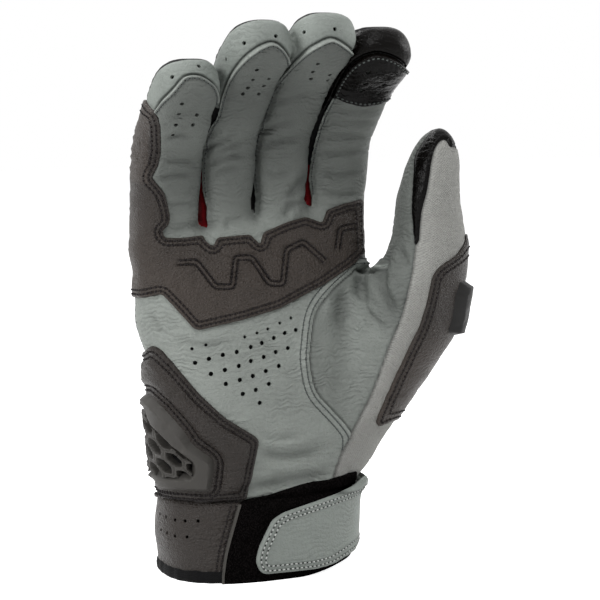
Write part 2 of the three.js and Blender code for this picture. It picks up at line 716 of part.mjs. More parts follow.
function addFingerPatches() {
  const patchOffsets = [patchLow, patchTop];
  const index = fingers[fingers.length - 1];
  const indexCap = fingerLength(index) - capLength;
  const touchPlaces = [indexCap - capLength, indexCap - seamGap];
  addPiece('index_touch_patch', fingerPanel(index, touchPlaces, padAngles, patchOffsets), 'blackLeather');
  const pinky = fingers[0];
  const upperFrom = pinky.lower + fingerBandLength;
  const sidePlaces = [upperFrom, upperFrom + pinky.upper / 2];
  addPiece('pinky_side_patch', fingerPanel(pinky, sidePlaces, sideAngles, patchOffsets), 'darkLeather');
  const rootFrom = (fingerRowTop - knuckleBandHigh) / Math.cos(fingerLean) + leather;
  const rootPlaces = [rootFrom, pinky.lower];
  addPiece('pinky_root_patch', fingerPanel(pinky, rootPlaces, sideAngles, patchOffsets), 'darkLeather');
}

// The thumb above its bend
function addThumb() {
  const ring = (low, high) => thumbSolid(low, high, 0)
    .subtract(thumbSolid(low - leather, high + leather, -leather));
  addPiece('thumb_bend', ring(thumbBandLow + seamGap, thumbBandHigh - seamGap), 'paleLeather');
  const capFrom = thumbHeight - capLength;
  const stall = ring(thumbBandHigh, capFrom - seamGap);
  const middle = thumbSection(thumbBandHigh, 0).centre;
  const outward = new THREE.Vector3(1, -1, 0).normalize();
  const quarter = (turn, gap) => {
    const wedge = new THREE.BoxGeometry(cutReach, cutReach, cutReach);
    wedge.translate(cutReach / 2 + gap, 0, 0);
    wedge.rotateZ(turn);
    wedge.translate(middle.x, middle.y, middle.z);
    return solidOf(wedge);
  };
  const clothTurn = Math.atan2(outward.y, outward.x);
  const clothSide = quarter(clothTurn, seamGap / 2);
  const palmSide = quarter(clothTurn + Math.PI, seamGap / 2);
  addPiece('thumb_cloth_stall', stall.intersect(clothSide), 'paleCloth');
  addPiece('thumb_pad', stall.intersect(palmSide), 'paleLeather');
  const capInside = thumbSolid(capFrom - leather, thumbHeight, -leather);
  addPiece('thumb_cap', thumbSolid(capFrom, thumbHeight, 0).subtract(capInside), 'blackLeather');
}

addHandPanels();
addCuff();
addLiner();
addPatches();
addStrap();
addKnuckleBand();
addFingerRow();
fingers.forEach(addFinger);
addFingerPatches();
addThumb();

// The origin is the middle of the footprint, on the floor
const bounds = new THREE.Box3().setFromObject(glove);
const middleOfBox = bounds.getCenter(new THREE.Vector3());
glove.position.set(-middleOfBox.x, -middleOfBox.y, -bounds.min.z);
glove.updateMatrixWorld(true);

export default glove;
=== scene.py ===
import math

import bpy
import numpy as np
import openvdb as vdb
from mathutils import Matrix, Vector
from mathutils.bvhtree import BVHTree


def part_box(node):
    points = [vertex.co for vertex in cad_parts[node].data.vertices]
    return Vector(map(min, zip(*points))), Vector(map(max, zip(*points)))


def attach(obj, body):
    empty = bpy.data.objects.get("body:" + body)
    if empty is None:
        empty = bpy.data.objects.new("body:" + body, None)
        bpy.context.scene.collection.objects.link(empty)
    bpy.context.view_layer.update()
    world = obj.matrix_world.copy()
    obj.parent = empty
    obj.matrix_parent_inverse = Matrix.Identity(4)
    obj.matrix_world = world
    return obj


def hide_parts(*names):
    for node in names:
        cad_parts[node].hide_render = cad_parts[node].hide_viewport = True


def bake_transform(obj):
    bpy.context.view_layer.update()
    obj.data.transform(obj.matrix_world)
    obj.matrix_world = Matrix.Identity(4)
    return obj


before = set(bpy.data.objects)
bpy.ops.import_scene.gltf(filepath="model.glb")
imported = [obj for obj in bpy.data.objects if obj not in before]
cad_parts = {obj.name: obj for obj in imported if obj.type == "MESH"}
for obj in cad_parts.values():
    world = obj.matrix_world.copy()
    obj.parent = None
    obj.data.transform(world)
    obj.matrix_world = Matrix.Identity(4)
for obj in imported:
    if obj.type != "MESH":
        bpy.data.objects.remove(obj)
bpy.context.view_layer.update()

# Driving sizes of the hand, as in the part
CROTCH_HEIGHT = 150.0
CUFF_HEIGHT = 33.4
FOLD_HEIGHT = 143.0
FOLD_START = 123.0
FOLD_END = 148.0
SIDE_SEAM_Y = 1.0
HEM_MIDDLE_X = -2.7
HEM_LIFT = 4.5
HEM_RISES_OVER = (5, 40)
# Thickness of the skin, edge of the cells that its form is sampled in, and the reach of its distance field
SKIN = 1.2
VOXEL = 1.5
REACH = 12.0
# The box that is sampled
HAND_LOW = np.array([-62.0, -56.0, -4.0])
HAND_HIGH = np.array([92.0, 34.0, 236.0])
# How softly the forms of the hand run into each other
PALM_TOP_BLEND = 8
THUMB_ROOT_BLEND = 12
FINGER_ROOT_BLEND = 6
CROTCH_BLEND = 0.8
WEB_BLEND = 9
KNUCKLE_BLEND = 5

# Height, left, right, depth and middle y of the palm's level sections
PALM_SECTIONS = [
    (-20, -42.2, 37.2, 52.0, 0.0),
    (7, -42.2, 37.2, 52.0, 0.0),
    (17, -43.6, 37.8, 50.0, 0.0),
    (33, -42.4, 39.6, 47.0, 0.0),
    (46, -43.8, 44.4, 49.5, -0.3),
    (60, -45.4, 47.0, 52.0, -1.0),
    (75, -46.6, 46.5, 51.0, -1.6),
    (90, -47.6, 45.6, 48.0, -1.6),
    (97, -50.6, 45.2, 46.0, -1.5),
    (105, -53.0, 45.0, 44.0, -1.4),
    (118, -53.4, 46.6, 38.0, -1.1),
    (126, -53.2, 47.4, 34.5, -1.0),
    (133, -53.0, 46.0, 31.5, -1.0),
    (144, -53.0, 45.0, 27.0, -0.5),
    (152, -53.0, 44.8, 21.6, 0.0),
]
PALM_POWER = 2.6
PALM_TOP = 147.3
PALM_TOP_SLOPE = 0.17

# Height, left, right, middle y and half depth of the thumb's level sections
THUMB_SECTIONS = [
    (30, 14.0, 41.0, -1.5, 12.5),
    (46, 17.0, 49.6, -3.0, 17.0),
    (60, 22.0, 57.5, -6.5, 19.0),
    (75, 28.0, 66.8, -10.0, 20.0),
    (89, 32.5, 74.6, -14.0, 21.0),
    (97, 34.5, 78.8, -17.0, 21.0),
    (108, 37.4, 81.0, -19.5, 20.0),
    (120, 42.6, 81.6, -22.2, 18.8),
    (127, 47.4, 81.6, -23.8, 17.8),
    (135, 50.8, 81.2, -25.0, 16.8),
    (145, 51.8, 79.4, -26.5, 15.3),
    (154, 52.0, 77.2, -28.0, 14.2),
    (162, 53.8, 76.3, -29.0, 13.2),
    (170, 56.0, 76.4, -29.8, 12.2),
    (184, 58.5, 77.5, -30.2, 11.0),
]
THUMB_POWER = 2.2
THUMB_ROOT = 36.0
THUMB_ROUND_FROM = 165.0
THUMB_TOP = 183.4
THUMB_CUT = 123.0

# Fingers: x at the root and tip, width, depth, length below the bend and above it
FINGERS = {
    "pinky": (-40.8, -39.6, 25.4, 22.5, 24.0, 39.5),
    "ring": (-16.0, -11.4, 21.8, 21.5, 30.0, 52.5),
    "middle": (7.3, 14.6, 22.2, 21.5, 31.0, 55.8),
    "index": (32.8, 39.2, 26.2, 22.5, 29.0, 50.3),
}
# How far each fingertip is fuller on the little finger's side and towards the back
FULLER_SIDE = {"pinky": 1.2, "ring": 5.0, "middle": 4.6, "index": 4.0}
FULLER_BACK = 2.5
FINGER_POWER = 2.8
FINGER_ROOT = -13.0
# Where a finger's own piece of skin starts, as a share of its length below the bend
FINGER_CUT_SHARE = 0.45
FINGER_TAPER = [
    (0.00, 1.00, 1.00),
    (0.30, 0.98, 0.96),
    (0.45, 0.96, 0.92),
    (0.70, 0.93, 0.90),
    (0.88, 0.94, 0.86),
    (1.00, 0.92, 0.80),
]
BEND_LENGTH = 15.0
TIP_ROUNDING = 11.5
LEAN, BEND, TIP_BEND = (math.radians(a) for a in (6, 30, 18))
TIP_BEND_SHARES = (0.36, 0.62)
SPINE_STEP = 0.5
SPINE_EXTRA = 25
# Fingers read their places from tables with one entry for each millimetre of y and z, from this corner
TABLE_LOW = np.array([-75.0, 115.0])
TABLE_SIZE = (115, 130)
FINGERS_FROM = CROTCH_HEIGHT - 30

# The camera of the photograph, which is 600 pixels wide
PICTURE = 600
CAMERA_AZIMUTH = math.radians(-24)
CAMERA_ELEVATION = math.radians(7)
CAMERA_DISTANCE = 800.0
MM_PER_PIXEL = 0.42
CAMERA_TARGET = np.array([19.0, 0.0, 111.0])
SENSOR = 36.0

hem_low, hem_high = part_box("hem_binding")
SHIFT = np.array([
    1000 * (hem_low.x + hem_high.x) / 2 - HEM_MIDDLE_X,
    1000 * (hem_low.y + hem_high.y) / 2,
    1000 * hem_low.z,
])


def row_point(point):
    """A point of the glove's own frame in the part's frame, in metres."""
    return tuple((np.asarray(point, float) + SHIFT) / 1000)


# Camera and projection
CAMERA_BACK = np.array([
    math.sin(CAMERA_AZIMUTH) * math.cos(CAMERA_ELEVATION),
    -math.cos(CAMERA_AZIMUTH) * math.cos(CAMERA_ELEVATION),
    math.sin(CAMERA_ELEVATION),
])
CAMERA_RIGHT = np.array([math.cos(CAMERA_AZIMUTH), math.sin(CAMERA_AZIMUTH), 0.0])
CAMERA_UP = np.cross(CAMERA_BACK, CAMERA_RIGHT)
CAMERA_PLACE = CAMERA_TARGET + CAMERA_BACK * CAMERA_DISTANCE
FOCAL_PIXELS = CAMERA_DISTANCE / MM_PER_PIXEL


def pixels_of(points):
    """Where points show in the photograph's frame."""
    rel = points - CAMERA_PLACE
    depth = rel @ -CAMERA_BACK
    x = PICTURE / 2 + FOCAL_PIXELS * (rel @ CAMERA_RIGHT) / depth
    y = PICTURE / 2 - FOCAL_PIXELS * (rel @ CAMERA_UP) / depth
    return np.stack([x, y], 1)


def ray_of(pixel):
    """The direction of the line of sight through a pixel."""
    across = (pixel[0] - PICTURE / 2) / FOCAL_PIXELS
    down = (pixel[1] - PICTURE / 2) / FOCAL_PIXELS
    ray = -CAMERA_BACK + CAMERA_RIGHT * across - CAMERA_UP * down
    return ray / np.linalg.norm(ray)


def add_camera():
    data = bpy.data.cameras.new("camera")
    data.sensor_width = SENSOR
    data.lens = SENSOR * FOCAL_PIXELS / PICTURE
    data.clip_start = 0.05
    camera = bpy.data.objects.new("camera", data)
    bpy.context.scene.collection.objects.link(camera)
    camera.location = row_point(CAMERA_PLACE)
    camera.rotation_euler = Vector(CAMERA_BACK).to_track_quat("Z", "Y").to_euler()
    bpy.context.scene.camera = camera


# Distances from the smooth forms
def table_at(rows, place):
    """The columns of a table, read on smooth curves through its rows."""
    rows = np.asarray(rows, float)
    knots = rows[:, 0]
    place = np.clip(place, knots[0], knots[-1])
    low = np.clip(np.searchsorted(knots, place) - 1, 0, len(knots) - 2)
    width = knots[low + 1] - knots[low]
    t = (place - knots[low]) / width
    columns = []
    for values in rows[:, 1:].T:
        slope = np.gradient(values, knots)
        start = values[low] * (2 * t**3 - 3 * t**2 + 1) + slope[low] * width * (t**3 - 2 * t**2 + t)
        end = values[low + 1] * (3 * t**2 - 2 * t**3) + slope[low + 1] * width * (t**3 - t**2)
        columns.append(start + end)
    return columns


def smooth_step(value, low, high):
    """Nothing at the low value, one at the high one, and a soft rise between."""
    t = np.clip((value - low) / (high - low), 0, 1)
    return t * t * (3 - 2 * t)


def hem_rise(x):
    """How far the hem has risen from the floor towards the thumb's side."""
    return HEM_LIFT * smooth_step(x, *HEM_RISES_OVER)


def smooth_min(a, b, blend):
    """The lesser of two distances, rounded where they are nearly equal."""
    near = np.maximum(blend - np.abs(a - b), 0) / blend
    return np.minimum(a, b) - near * near * blend / 4


def smooth_max(a, b, blend):
    """The greater of two distances, rounded where they are nearly equal."""
    return -smooth_min(-a, -b, blend)


def round_distance(u, v, half_width, half_depth, power, tip=0.0, tip_length=1.0):
    """About how far a point is outside a tube of rounded section, with a round end past its tip."""
    a = np.abs(u) / half_width + 1e-9
    b = np.abs(v) / half_depth + 1e-9
    level = (a**power + b**power) ** (1 / power)
    slope = level ** (1 - power) * np.hypot(a ** (power - 1) / half_width, b ** (power - 1) / half_depth)
    past = np.maximum(tip, 0) / tip_length
    whole = np.hypot(level, past)
    steep = np.hypot(level * slope, past / tip_length) / whole
    return np.clip((whole - 1) / (steep + 1e-6), -REACH, REACH)


def palm_distance(p):
    """About how far points are outside the palm and the cuff."""
    left, right, depth, middle = table_at(PALM_SECTIONS, p[:, 2])
    u = p[:, 0] - (left + right) / 2
    side = round_distance(u, p[:, 1] - middle, (right - left) / 2, depth / 2, PALM_POWER)
    return smooth_max(side, p[:, 2] - PALM_TOP - PALM_TOP_SLOPE * p[:, 0], PALM_TOP_BLEND)


def thumb_distance(p):
    """About how far points are outside the thumb."""
    left, right, middle, half_depth = table_at(THUMB_SECTIONS, p[:, 2])
    u = p[:, 0] - (left + right) / 2
    tip = p[:, 2] - THUMB_ROUND_FROM
    length = THUMB_TOP - THUMB_ROUND_FROM
    side = round_distance(u, p[:, 1] - middle, (right - left) / 2, half_depth, THUMB_POWER, tip, length)
    return smooth_max(side, THUMB_ROOT - p[:, 2], THUMB_ROOT_BLEND)


class Finger:
    """A bent tube whose spine runs in a plane of constant x."""

    def __init__(self, name):
        self.name = name
        self.root_x, self.tip_x, self.width, self.depth, self.lower, self.upper = FINGERS[name]
        self.length = self.lower + BEND_LENGTH + self.upper
        self.fuller = FULLER_SIDE[name]
        self.digit = DIGITS.index(name)
        bend_from, bend_to = (self.lower + BEND_LENGTH + s * self.upper for s in TIP_BEND_SHARES)
        along = np.arange(-SPINE_EXTRA, self.length + SPINE_EXTRA, SPINE_STEP)
        heading = LEAN + BEND * np.clip((along - self.lower) / BEND_LENGTH, 0, 1)
        heading += TIP_BEND * np.clip((along - bend_from) / (bend_to - bend_from), 0, 1)
        y = -np.cumsum(np.sin(heading)) * SPINE_STEP
        z = np.cumsum(np.cos(heading)) * SPINE_STEP
        zero = np.searchsorted(along, 0)
        self.spine = np.stack([along, y - y[zero], z - z[zero] + FOLD_HEIGHT, heading], 1)
        rows = [low + np.arange(count) for low, count in zip(TABLE_LOW, TABLE_SIZE)]
        grid_y, grid_z = np.meshgrid(*rows, indexing="ij")
        far = np.hypot(grid_y[..., None] - self.spine[:, 1], grid_z[..., None] - self.spine[:, 2])
        nearest = self.spine[np.argmin(far, 2)]
        off_y, off_z = grid_y - nearest[..., 1], grid_z - nearest[..., 2]
        sine, cosine = np.sin(nearest[..., 3]), np.cos(nearest[..., 3])
        self.along_table = nearest[..., 0] + off_z * cosine - off_y * sine
        self.across_table = off_y * cosine + off_z * sine

    def at(self, p):
        """Place along the spine, and offsets to the side and to the back."""
        y = np.clip(p[:, 1] - TABLE_LOW[0], 0, TABLE_SIZE[0] - 1.001)
        z = np.clip(p[:, 2] - TABLE_LOW[1], 0, TABLE_SIZE[1] - 1.001)
        i, j = y.astype(int), z.astype(int)
        fy, fz = y - i, z - j
        read = []
        for table in (self.along_table, self.across_table):
            low = table[i, j] * (1 - fz) + table[i, j + 1] * fz
            high = table[i + 1, j] * (1 - fz) + table[i + 1, j + 1] * fz
            read.append(low * (1 - fy) + high * fy)
        along, v = read
        t = smooth_step(along, self.lower, self.length)
        centre = self.root_x + (self.tip_x - self.root_x) * t
        return along, p[:, 0] - centre, v

    def distance(self, p):
        """About how far points are outside the finger."""
        along, u, v = self.at(p)
        width, depth = table_at(FINGER_TAPER, along / self.length)
        side = smooth_step(along, self.lower, self.length - TIP_ROUNDING) * self.fuller / 2
        bent = smooth_step(along, self.lower, self.length)
        back = smooth_step(along, 0, self.lower) * (1 - bent) * FULLER_BACK / 2
        tip = along - (self.length - TIP_ROUNDING)
        half_width = width * self.width / 2 + side
        half_depth = depth * self.depth / 2 + back
        tube = round_distance(u + side, v - back, half_width, half_depth, FINGER_POWER, tip, TIP_ROUNDING)
        return smooth_max(tube, FINGER_ROOT - along, FINGER_ROOT_BLEND)

    def spine_point(self, along):
        """Where the spine is at a length along it."""
        _, y, z, _ = self.spine[np.searchsorted(self.spine[:, 0], along)]
        return (self.root_x, y, z)


DIGITS = ["palm", "thumb", *FINGERS]
fingers = [Finger(name) for name in FINGERS]
finger_of = dict(zip(FINGERS, fingers))


def part_distances(p):
    """One row for each of the palm, the thumb and the fingers."""
    rows = [palm_distance(p), thumb_distance(p)]
    high = p[:, 2] > FINGERS_FROM
    for finger in fingers:
        row = np.full(len(p), REACH)
        row[high] = finger.distance(p[high])
        rows.append(row)
    return np.array(rows)


def hand_distance(p):
    """About how far points are outside the whole hand."""
    parts = part_distances(p)
    row = parts[2]
    for other in parts[3:]:
        row = smooth_min(row, other, CROTCH_BLEND)
    hand = smooth_min(parts[0], parts[1], WEB_BLEND)
    return smooth_min(hand, row, KNUCKLE_BLEND)


def gradient(field, p, step=0.3):
    """A field's slope at points, from differences over short steps."""
    slopes = []
    for axis in np.eye(3) * step:
        slopes.append((field(p + axis) - field(p - axis)) / (2 * step))
    return np.stack(slopes, 1)


def unit(v):
    """Vectors scaled to a length of one."""
    return v / (np.linalg.norm(v, axis=-1, keepdims=True) + 1e-12)


# Triangle meshes as arrays: points, triangles and named values at the points
class Sheet:
    """A surface of triangles, with values such as normals at its points."""

    def __init__(self, points, triangles, **values):
        self.points = points
        self.triangles = triangles
        self.values = values

    def joined_with(self, new_points, triangles, ends, share):
        """The same sheet with points added between pairs of its own."""
        a, b = ends
        s = share[:, None]
        values = {}
        for name, value in self.values.items():
            t = share if value.ndim == 1 else s
            values[name] = np.concatenate([value, value[a] * (1 - t) + value[b] * t])
        return Sheet(np.concatenate([self.points, new_points]), triangles, **values)

    def trimmed(self, keep):
        """Only the kept triangles and the points that they use."""
        triangles = self.triangles[keep]
        used, inverse = np.unique(triangles, return_inverse=True)
        values = {name: value[used] for name, value in self.values.items()}
        return Sheet(self.points[used], inverse.reshape(-1, 3), **values)


def triangle_edges(triangles):
    """The directed edges of triangles: all first ones, then all second and all third ones."""
    return np.concatenate([triangles[:, [0, 1]], triangles[:, [1, 2]], triangles[:, [2, 0]]])


def edge_keys(edges, count):
    """One whole number for each pair of points, whichever way round."""
    return edges.min(1).astype(np.int64) * count + edges.max(1)


def scored(sheet, field, snap=0.07):
    """The sheet with edges along the line where the field is zero, and the field at its points.

    An end that is nearer to the line than the snap share of its edge is taken to lie on it.
    """
    field = field.copy()
    tri = sheet.triangles
    edges = triangle_edges(tri)
    near = field[edges].min(1) * field[edges].max(1) < 0
    count = len(sheet.points)
    edges = np.stack(np.divmod(np.unique(edge_keys(edges[near], count)), count), 1)
    fa, fb = field[edges[:, 0]], field[edges[:, 1]]
    crossing = fa * fb < 0
    share = np.abs(fa[crossing]) / (np.abs(fa[crossing]) + np.abs(fb[crossing]))
    field[edges[crossing, 0][share < snap]] = 0
    field[edges[crossing, 1][share > 1 - snap]] = 0
    fa, fb = field[edges[:, 0]], field[edges[:, 1]]
    edges = edges[fa * fb < 0]
    if not len(edges):
        return sheet, field
    fa, fb = field[edges[:, 0]], field[edges[:, 1]]
    share = fa / (fa - fb)
    s = share[:, None]
    new_points = sheet.points[edges[:, 0]] * (1 - s) + sheet.points[edges[:, 1]] * s
    key = edge_keys(edges, count)

    def middle(a, b):
        return count + np.searchsorted(key, edge_keys(np.stack([a, b], 1), count))

    sign = np.sign(field[tri])
    cut = (sign.min(1) < 0) & (sign.max(1) > 0)
    rows = [tri[~cut]]
    todo, sign = tri[cut], sign[cut]
    for turn in range(3):
        a, b, c = (np.roll(todo, -turn, 1)[:, k] for k in range(3))
        sa, sb, sc = (np.roll(sign, -turn, 1)[:, k] for k in range(3))
        through = (sa == 0) & (sb * sc < 0)
        m = middle(b[through], c[through])
        rows += [np.stack([a[through], b[through], m], 1), np.stack([a[through], m, c[through]], 1)]
        alone = (sa * sb < 0) & (sa * sc < 0)
        m, n = middle(a[alone], b[alone]), middle(a[alone], c[alone])
        rows += [
            np.stack([a[alone], m, n], 1),
            np.stack([m, b[alone], c[alone]], 1),
            np.stack([m, c[alone], n], 1),
        ]
    result = sheet.joined_with(new_points, np.concatenate(rows), (edges[:, 0], edges[:, 1]), share)
    return result, np.concatenate([field, np.zeros(len(new_points))])


# Islands of fewer triangles than this stay with what they were cut from
CRUMB = 12


def island_sizes(triangles):
    """For each triangle, how many triangles its island has."""
    if not len(triangles):
        return np.zeros(0, int)
    label = np.arange(triangles.max() + 1)
    while True:
        before = label.copy()
        low = label[triangles].min(1)
        for k in range(3):
            np.minimum.at(label, triangles[:, k], low)
        label = label[label]
        if np.array_equal(before, label):
            break
    island = label[triangles[:, 0]]
    _, inverse, sizes = np.unique(island, return_inverse=True, return_counts=True)
    return sizes[inverse]


def parted(sheet, field):
    """The sheet's part where the field is positive, and the rest. Crumbs of either go to the other."""
    sheet, field = scored(sheet, field)
    side = field[sheet.triangles].sum(1) > 0
    for sign in (True, False):
        own = np.nonzero(side == sign)[0]
        side[own[island_sizes(sheet.triangles[own]) < CRUMB]] = not sign
    return sheet.trimmed(side), sheet.trimmed(~side)


def refined(sheet, near):
    """The sheet with the edges of its marked points' triangles split in the middle."""
    tri = sheet.triangles
    count = len(sheet.points)
    edges = triangle_edges(tri)
    keys, inverse = np.unique(edge_keys(edges, count), return_inverse=True)
    edges = np.stack(np.divmod(keys, count), 1)
    inverse = inverse.reshape(3, -1).T
    marked = np.zeros(len(edges), bool)
    marked[inverse[near[tri].any(1)].ravel()] = True
    number = np.full(len(edges), -1)
    number[marked] = count + np.arange(marked.sum())
    m = number[inverse]
    split = (m >= 0).sum(1)
    rows = [tri[split == 0]]
    for turn in range(3):
        a, b, c = (np.roll(tri, -turn, 1)[:, k] for k in range(3))
        ab, bc, ca = (np.roll(m, -turn, 1)[:, k] for k in range(3))
        one = (split == 1) & (ab >= 0)
        rows += [np.stack([a, ab, c], 1)[one], np.stack([ab, b, c], 1)[one]]
        two = (split == 2) & (ca < 0)
        rows += [np.stack(t, 1)[two] for t in ((ab, b, bc), (a, ab, bc), (a, bc, c))]
    full = split == 3
    a, b, c = tri[full].T
    ab, bc, ca = m[full].T
    rows += [np.stack(t, 1) for t in ((a, ab, ca), (ab, b, bc), (ca, bc, c), (ab, bc, ca))]
    ends = edges[marked]
    half = np.full(len(ends), 0.5)
    new_points = (sheet.points[ends[:, 0]] + sheet.points[ends[:, 1]]) / 2
    return sheet.joined_with(new_points, np.concatenate(rows), (ends[:, 0], ends[:, 1]), half)


def point_normals(points, triangles):
    """Normals at the points, from the triangles round them."""
    a, b, c = (points[triangles[:, k]] for k in range(3))
    face = np.cross(b - a, c - a)
    normals = np.zeros_like(points)
    for k in range(3):
        np.add.at(normals, triangles[:, k], face)
    return unit(normals)


def hand_sheet(voxel=VOXEL):
    """The hand's smooth outer skin, extracted from its distance field."""
    counts = np.ceil((HAND_HIGH - HAND_LOW) / voxel).astype(int)
    axes = [HAND_LOW[k] + voxel * np.arange(counts[k]) for k in range(3)]
    cells = np.stack(np.meshgrid(*axes, indexing="ij"), -1).reshape(-1, 3)
    values = hand_distance(cells).reshape(counts).astype(np.float32)
    grid = vdb.FloatGrid(REACH)
    grid.copyFromArray(values)
    points, quads = grid.convertToQuads(0.0)
    points = HAND_LOW + points.astype(float) * voxel
    quads = quads.astype(np.int64)
    triangles = np.concatenate([quads[:, [0, 1, 2]], quads[:, [0, 2, 3]]])
    normals = point_normals(points, triangles)
    if np.sum(normals * gradient(hand_distance, points)) < 0:
        triangles = triangles[:, ::-1]
    return Sheet(points, triangles)


# The longest move in one round of settling
LONGEST_STEP = 0.6


def settle(sheet, rounds=2):
    """Moves the points onto the smooth form and keeps the form's normals."""
    for _ in range(rounds):
        slope = gradient(hand_distance, sheet.points)
        steep = np.sum(slope * slope, 1, keepdims=True) + 1e-3
        step = hand_distance(sheet.points)[:, None] * slope / steep
        sheet.points = sheet.points - np.clip(step, -LONGEST_STEP, LONGEST_STEP)
    sheet.values["normal"] = unit(gradient(hand_distance, sheet.points))
    return sheet


# Meshes in Blender
def add_piece(name, points, triangles, material, normals=None, values=None):
    """A mesh object from arrays in the glove's own frame."""
    data = bpy.data.meshes.new(name)
    count = len(triangles)
    data.vertices.add(len(points))
    data.vertices.foreach_set("co", ((points + SHIFT) / 1000).astype(np.float32).ravel())
    data.loops.add(count * 3)
    data.loops.foreach_set("vertex_index", triangles.astype(np.int32).ravel())
    data.polygons.add(count)
    data.polygons.foreach_set("loop_start", np.arange(count, dtype=np.int32) * 3)
    data.polygons.foreach_set("loop_total", np.full(count, 3, np.int32))
    data.update(calc_edges=True)
    data.validate()
    rest = data.attributes.new("rest", "FLOAT_VECTOR", "POINT")
    rest.data.foreach_set("vector", points.astype(np.float32).ravel())
    for key, value in (values or {}).items():
        attribute = data.attributes.new(key, "FLOAT", "POINT")
        attribute.data.foreach_set("value", value.astype(np.float32))
    data.shade_smooth()
    if normals is not None:
        data.normals_split_custom_set(normals.reshape(-1, 3).tolist())
    data.materials.append(material)
    piece = bpy.data.objects.new(name, data)
    bpy.context.scene.collection.objects.link(piece)
    return piece


# Procedural noise for folds and grain in the forms
LATTICE_FACTORS = np.array([374761393, 668265263, 2147483647])
SEED_FACTOR = 974634777
MIX_FACTOR = 1274126177
CREASE_SHARPNESS = 3.2


def lattice(cell, seed):
    """Repeatable pseudo-random numbers from -1 to 1 at whole-numbered points."""
    mixed = cell @ LATTICE_FACTORS + seed * SEED_FACTOR
    mixed = (mixed ^ (mixed >> 13)) * MIX_FACTOR
    mixed = mixed ^ (mixed >> 16)
    return (mixed & 0xFFFF) / 32767.5 - 1


def noise(p, seed=0):
    """Smooth noise from -1 to 1, about one swell for each unit of length."""
    cell = np.floor(p).astype(np.int64)
    t = p - cell
    t = t * t * (3 - 2 * t)
    total = np.zeros(len(p))
    for corner in np.ndindex(2, 2, 2):
        weight = np.prod(np.where(corner, t, 1 - t), 1)
        total += weight * lattice(cell + np.array(corner), seed)
    return total


def creases(p, seed=0):
    """Narrow valleys, from 0 to 1, along the lines where the noise passes through zero."""
    return (1 - np.clip(np.abs(noise(p, seed)) * CREASE_SHARPNESS, 0, 1)) ** 2


# Outlines in the photograph
def curve(points, step=2.0):
    """A smooth line through a few points, with a point at about every step."""
    p = np.array([points[0], *points, points[-1]], float)
    line = []
    for i in range(1, len(p) - 2):
        count = max(2, int(np.linalg.norm(p[i + 1] - p[i]) / step))
        t = np.arange(count)[:, None] / count
        a = -p[i - 1] + 3 * p[i] - 3 * p[i + 1] + p[i + 2]
        b = 2 * p[i - 1] - 5 * p[i] + 4 * p[i + 1] - p[i + 2]
        c = p[i + 1] - p[i - 1]
        line.append(0.5 * (a * t**3 + b * t**2 + c * t) + p[i])
    return np.concatenate([*line, p[-1:]])


def rounded(points, radius=2.0, closed=False):
    """A line of straight stretches with its corners rounded off."""
    p = np.array(points, float)
    if closed:
        corners, before, after = p, np.roll(p, 1, 0), np.roll(p, -1, 0)
    else:
        corners, before, after = p[1:-1], p[:-2], p[2:]
    line = []
    for corner, a, b in zip(corners, before, after):
        reach_a = min(radius, np.linalg.norm(a - corner) / 2)
        reach_b = min(radius, np.linalg.norm(b - corner) / 2)
        start = corner + unit(a - corner) * reach_a
        end = corner + unit(b - corner) * reach_b
        for t in (0, 0.25, 0.5, 0.75, 1):
            line.append((1 - t) ** 2 * start + 2 * t * (1 - t) * corner + t * t * end)
    line = np.array(line)
    return line if closed else np.concatenate([p[:1], line, p[-1:]])


def line_distance(line, q, chunk=40000):
    """The distance of each pixel place q from a line, and how far along the line it is nearest."""
    a, b = line[:-1], line[1:]
    d = b - a
    lengths = np.linalg.norm(d, axis=1)
    starts = np.concatenate([[0], np.cumsum(lengths)[:-1]])
    far, along = [], []
    for k in range(0, len(q), chunk):
        rel = q[k:k + chunk, None] - a
        t = np.clip((rel * d).sum(2) / (lengths**2 + 1e-9), 0, 1)
        gap = np.linalg.norm(rel - t[..., None] * d, axis=2)
        nearest = np.argmin(gap, 1)
        rows = np.arange(len(nearest))
        far.append(gap[rows, nearest])
        along.append(starts[nearest] + t[rows, nearest] * lengths[nearest])
    return np.concatenate(far), np.concatenate(along)


def within(outline, q):
    """How far places q are inside a closed outline; outside is negative."""
    closed = np.concatenate([outline, outline[:1]])
    far, _ = line_distance(closed, q)
    inside = np.zeros(len(q), bool)
    for (ax, ay), (bx, by) in zip(closed[:-1], closed[1:]):
        if ay == by:
            continue
        straddles = (ay > q[:, 1]) != (by > q[:, 1])
        inside ^= straddles & (q[:, 0] < ax + (bx - ax) * (q[:, 1] - ay) / (by - ay))
    return np.where(inside, far, -far)


# How much nearer than its distance a point of a shifted line may be to the line itself
LOOP_TOLERANCE = 0.93


def offset_line(line, distance):
    """A line shifted to its left by a distance, without the loops that a sharp corner leaves."""
    d = np.gradient(line, axis=0)
    normal = unit(np.stack([d[:, 1], -d[:, 0]], 1))
    moved = line + normal * distance
    gap, _ = line_distance(line, moved)
    return moved[gap > abs(distance) * LOOP_TOLERANCE]


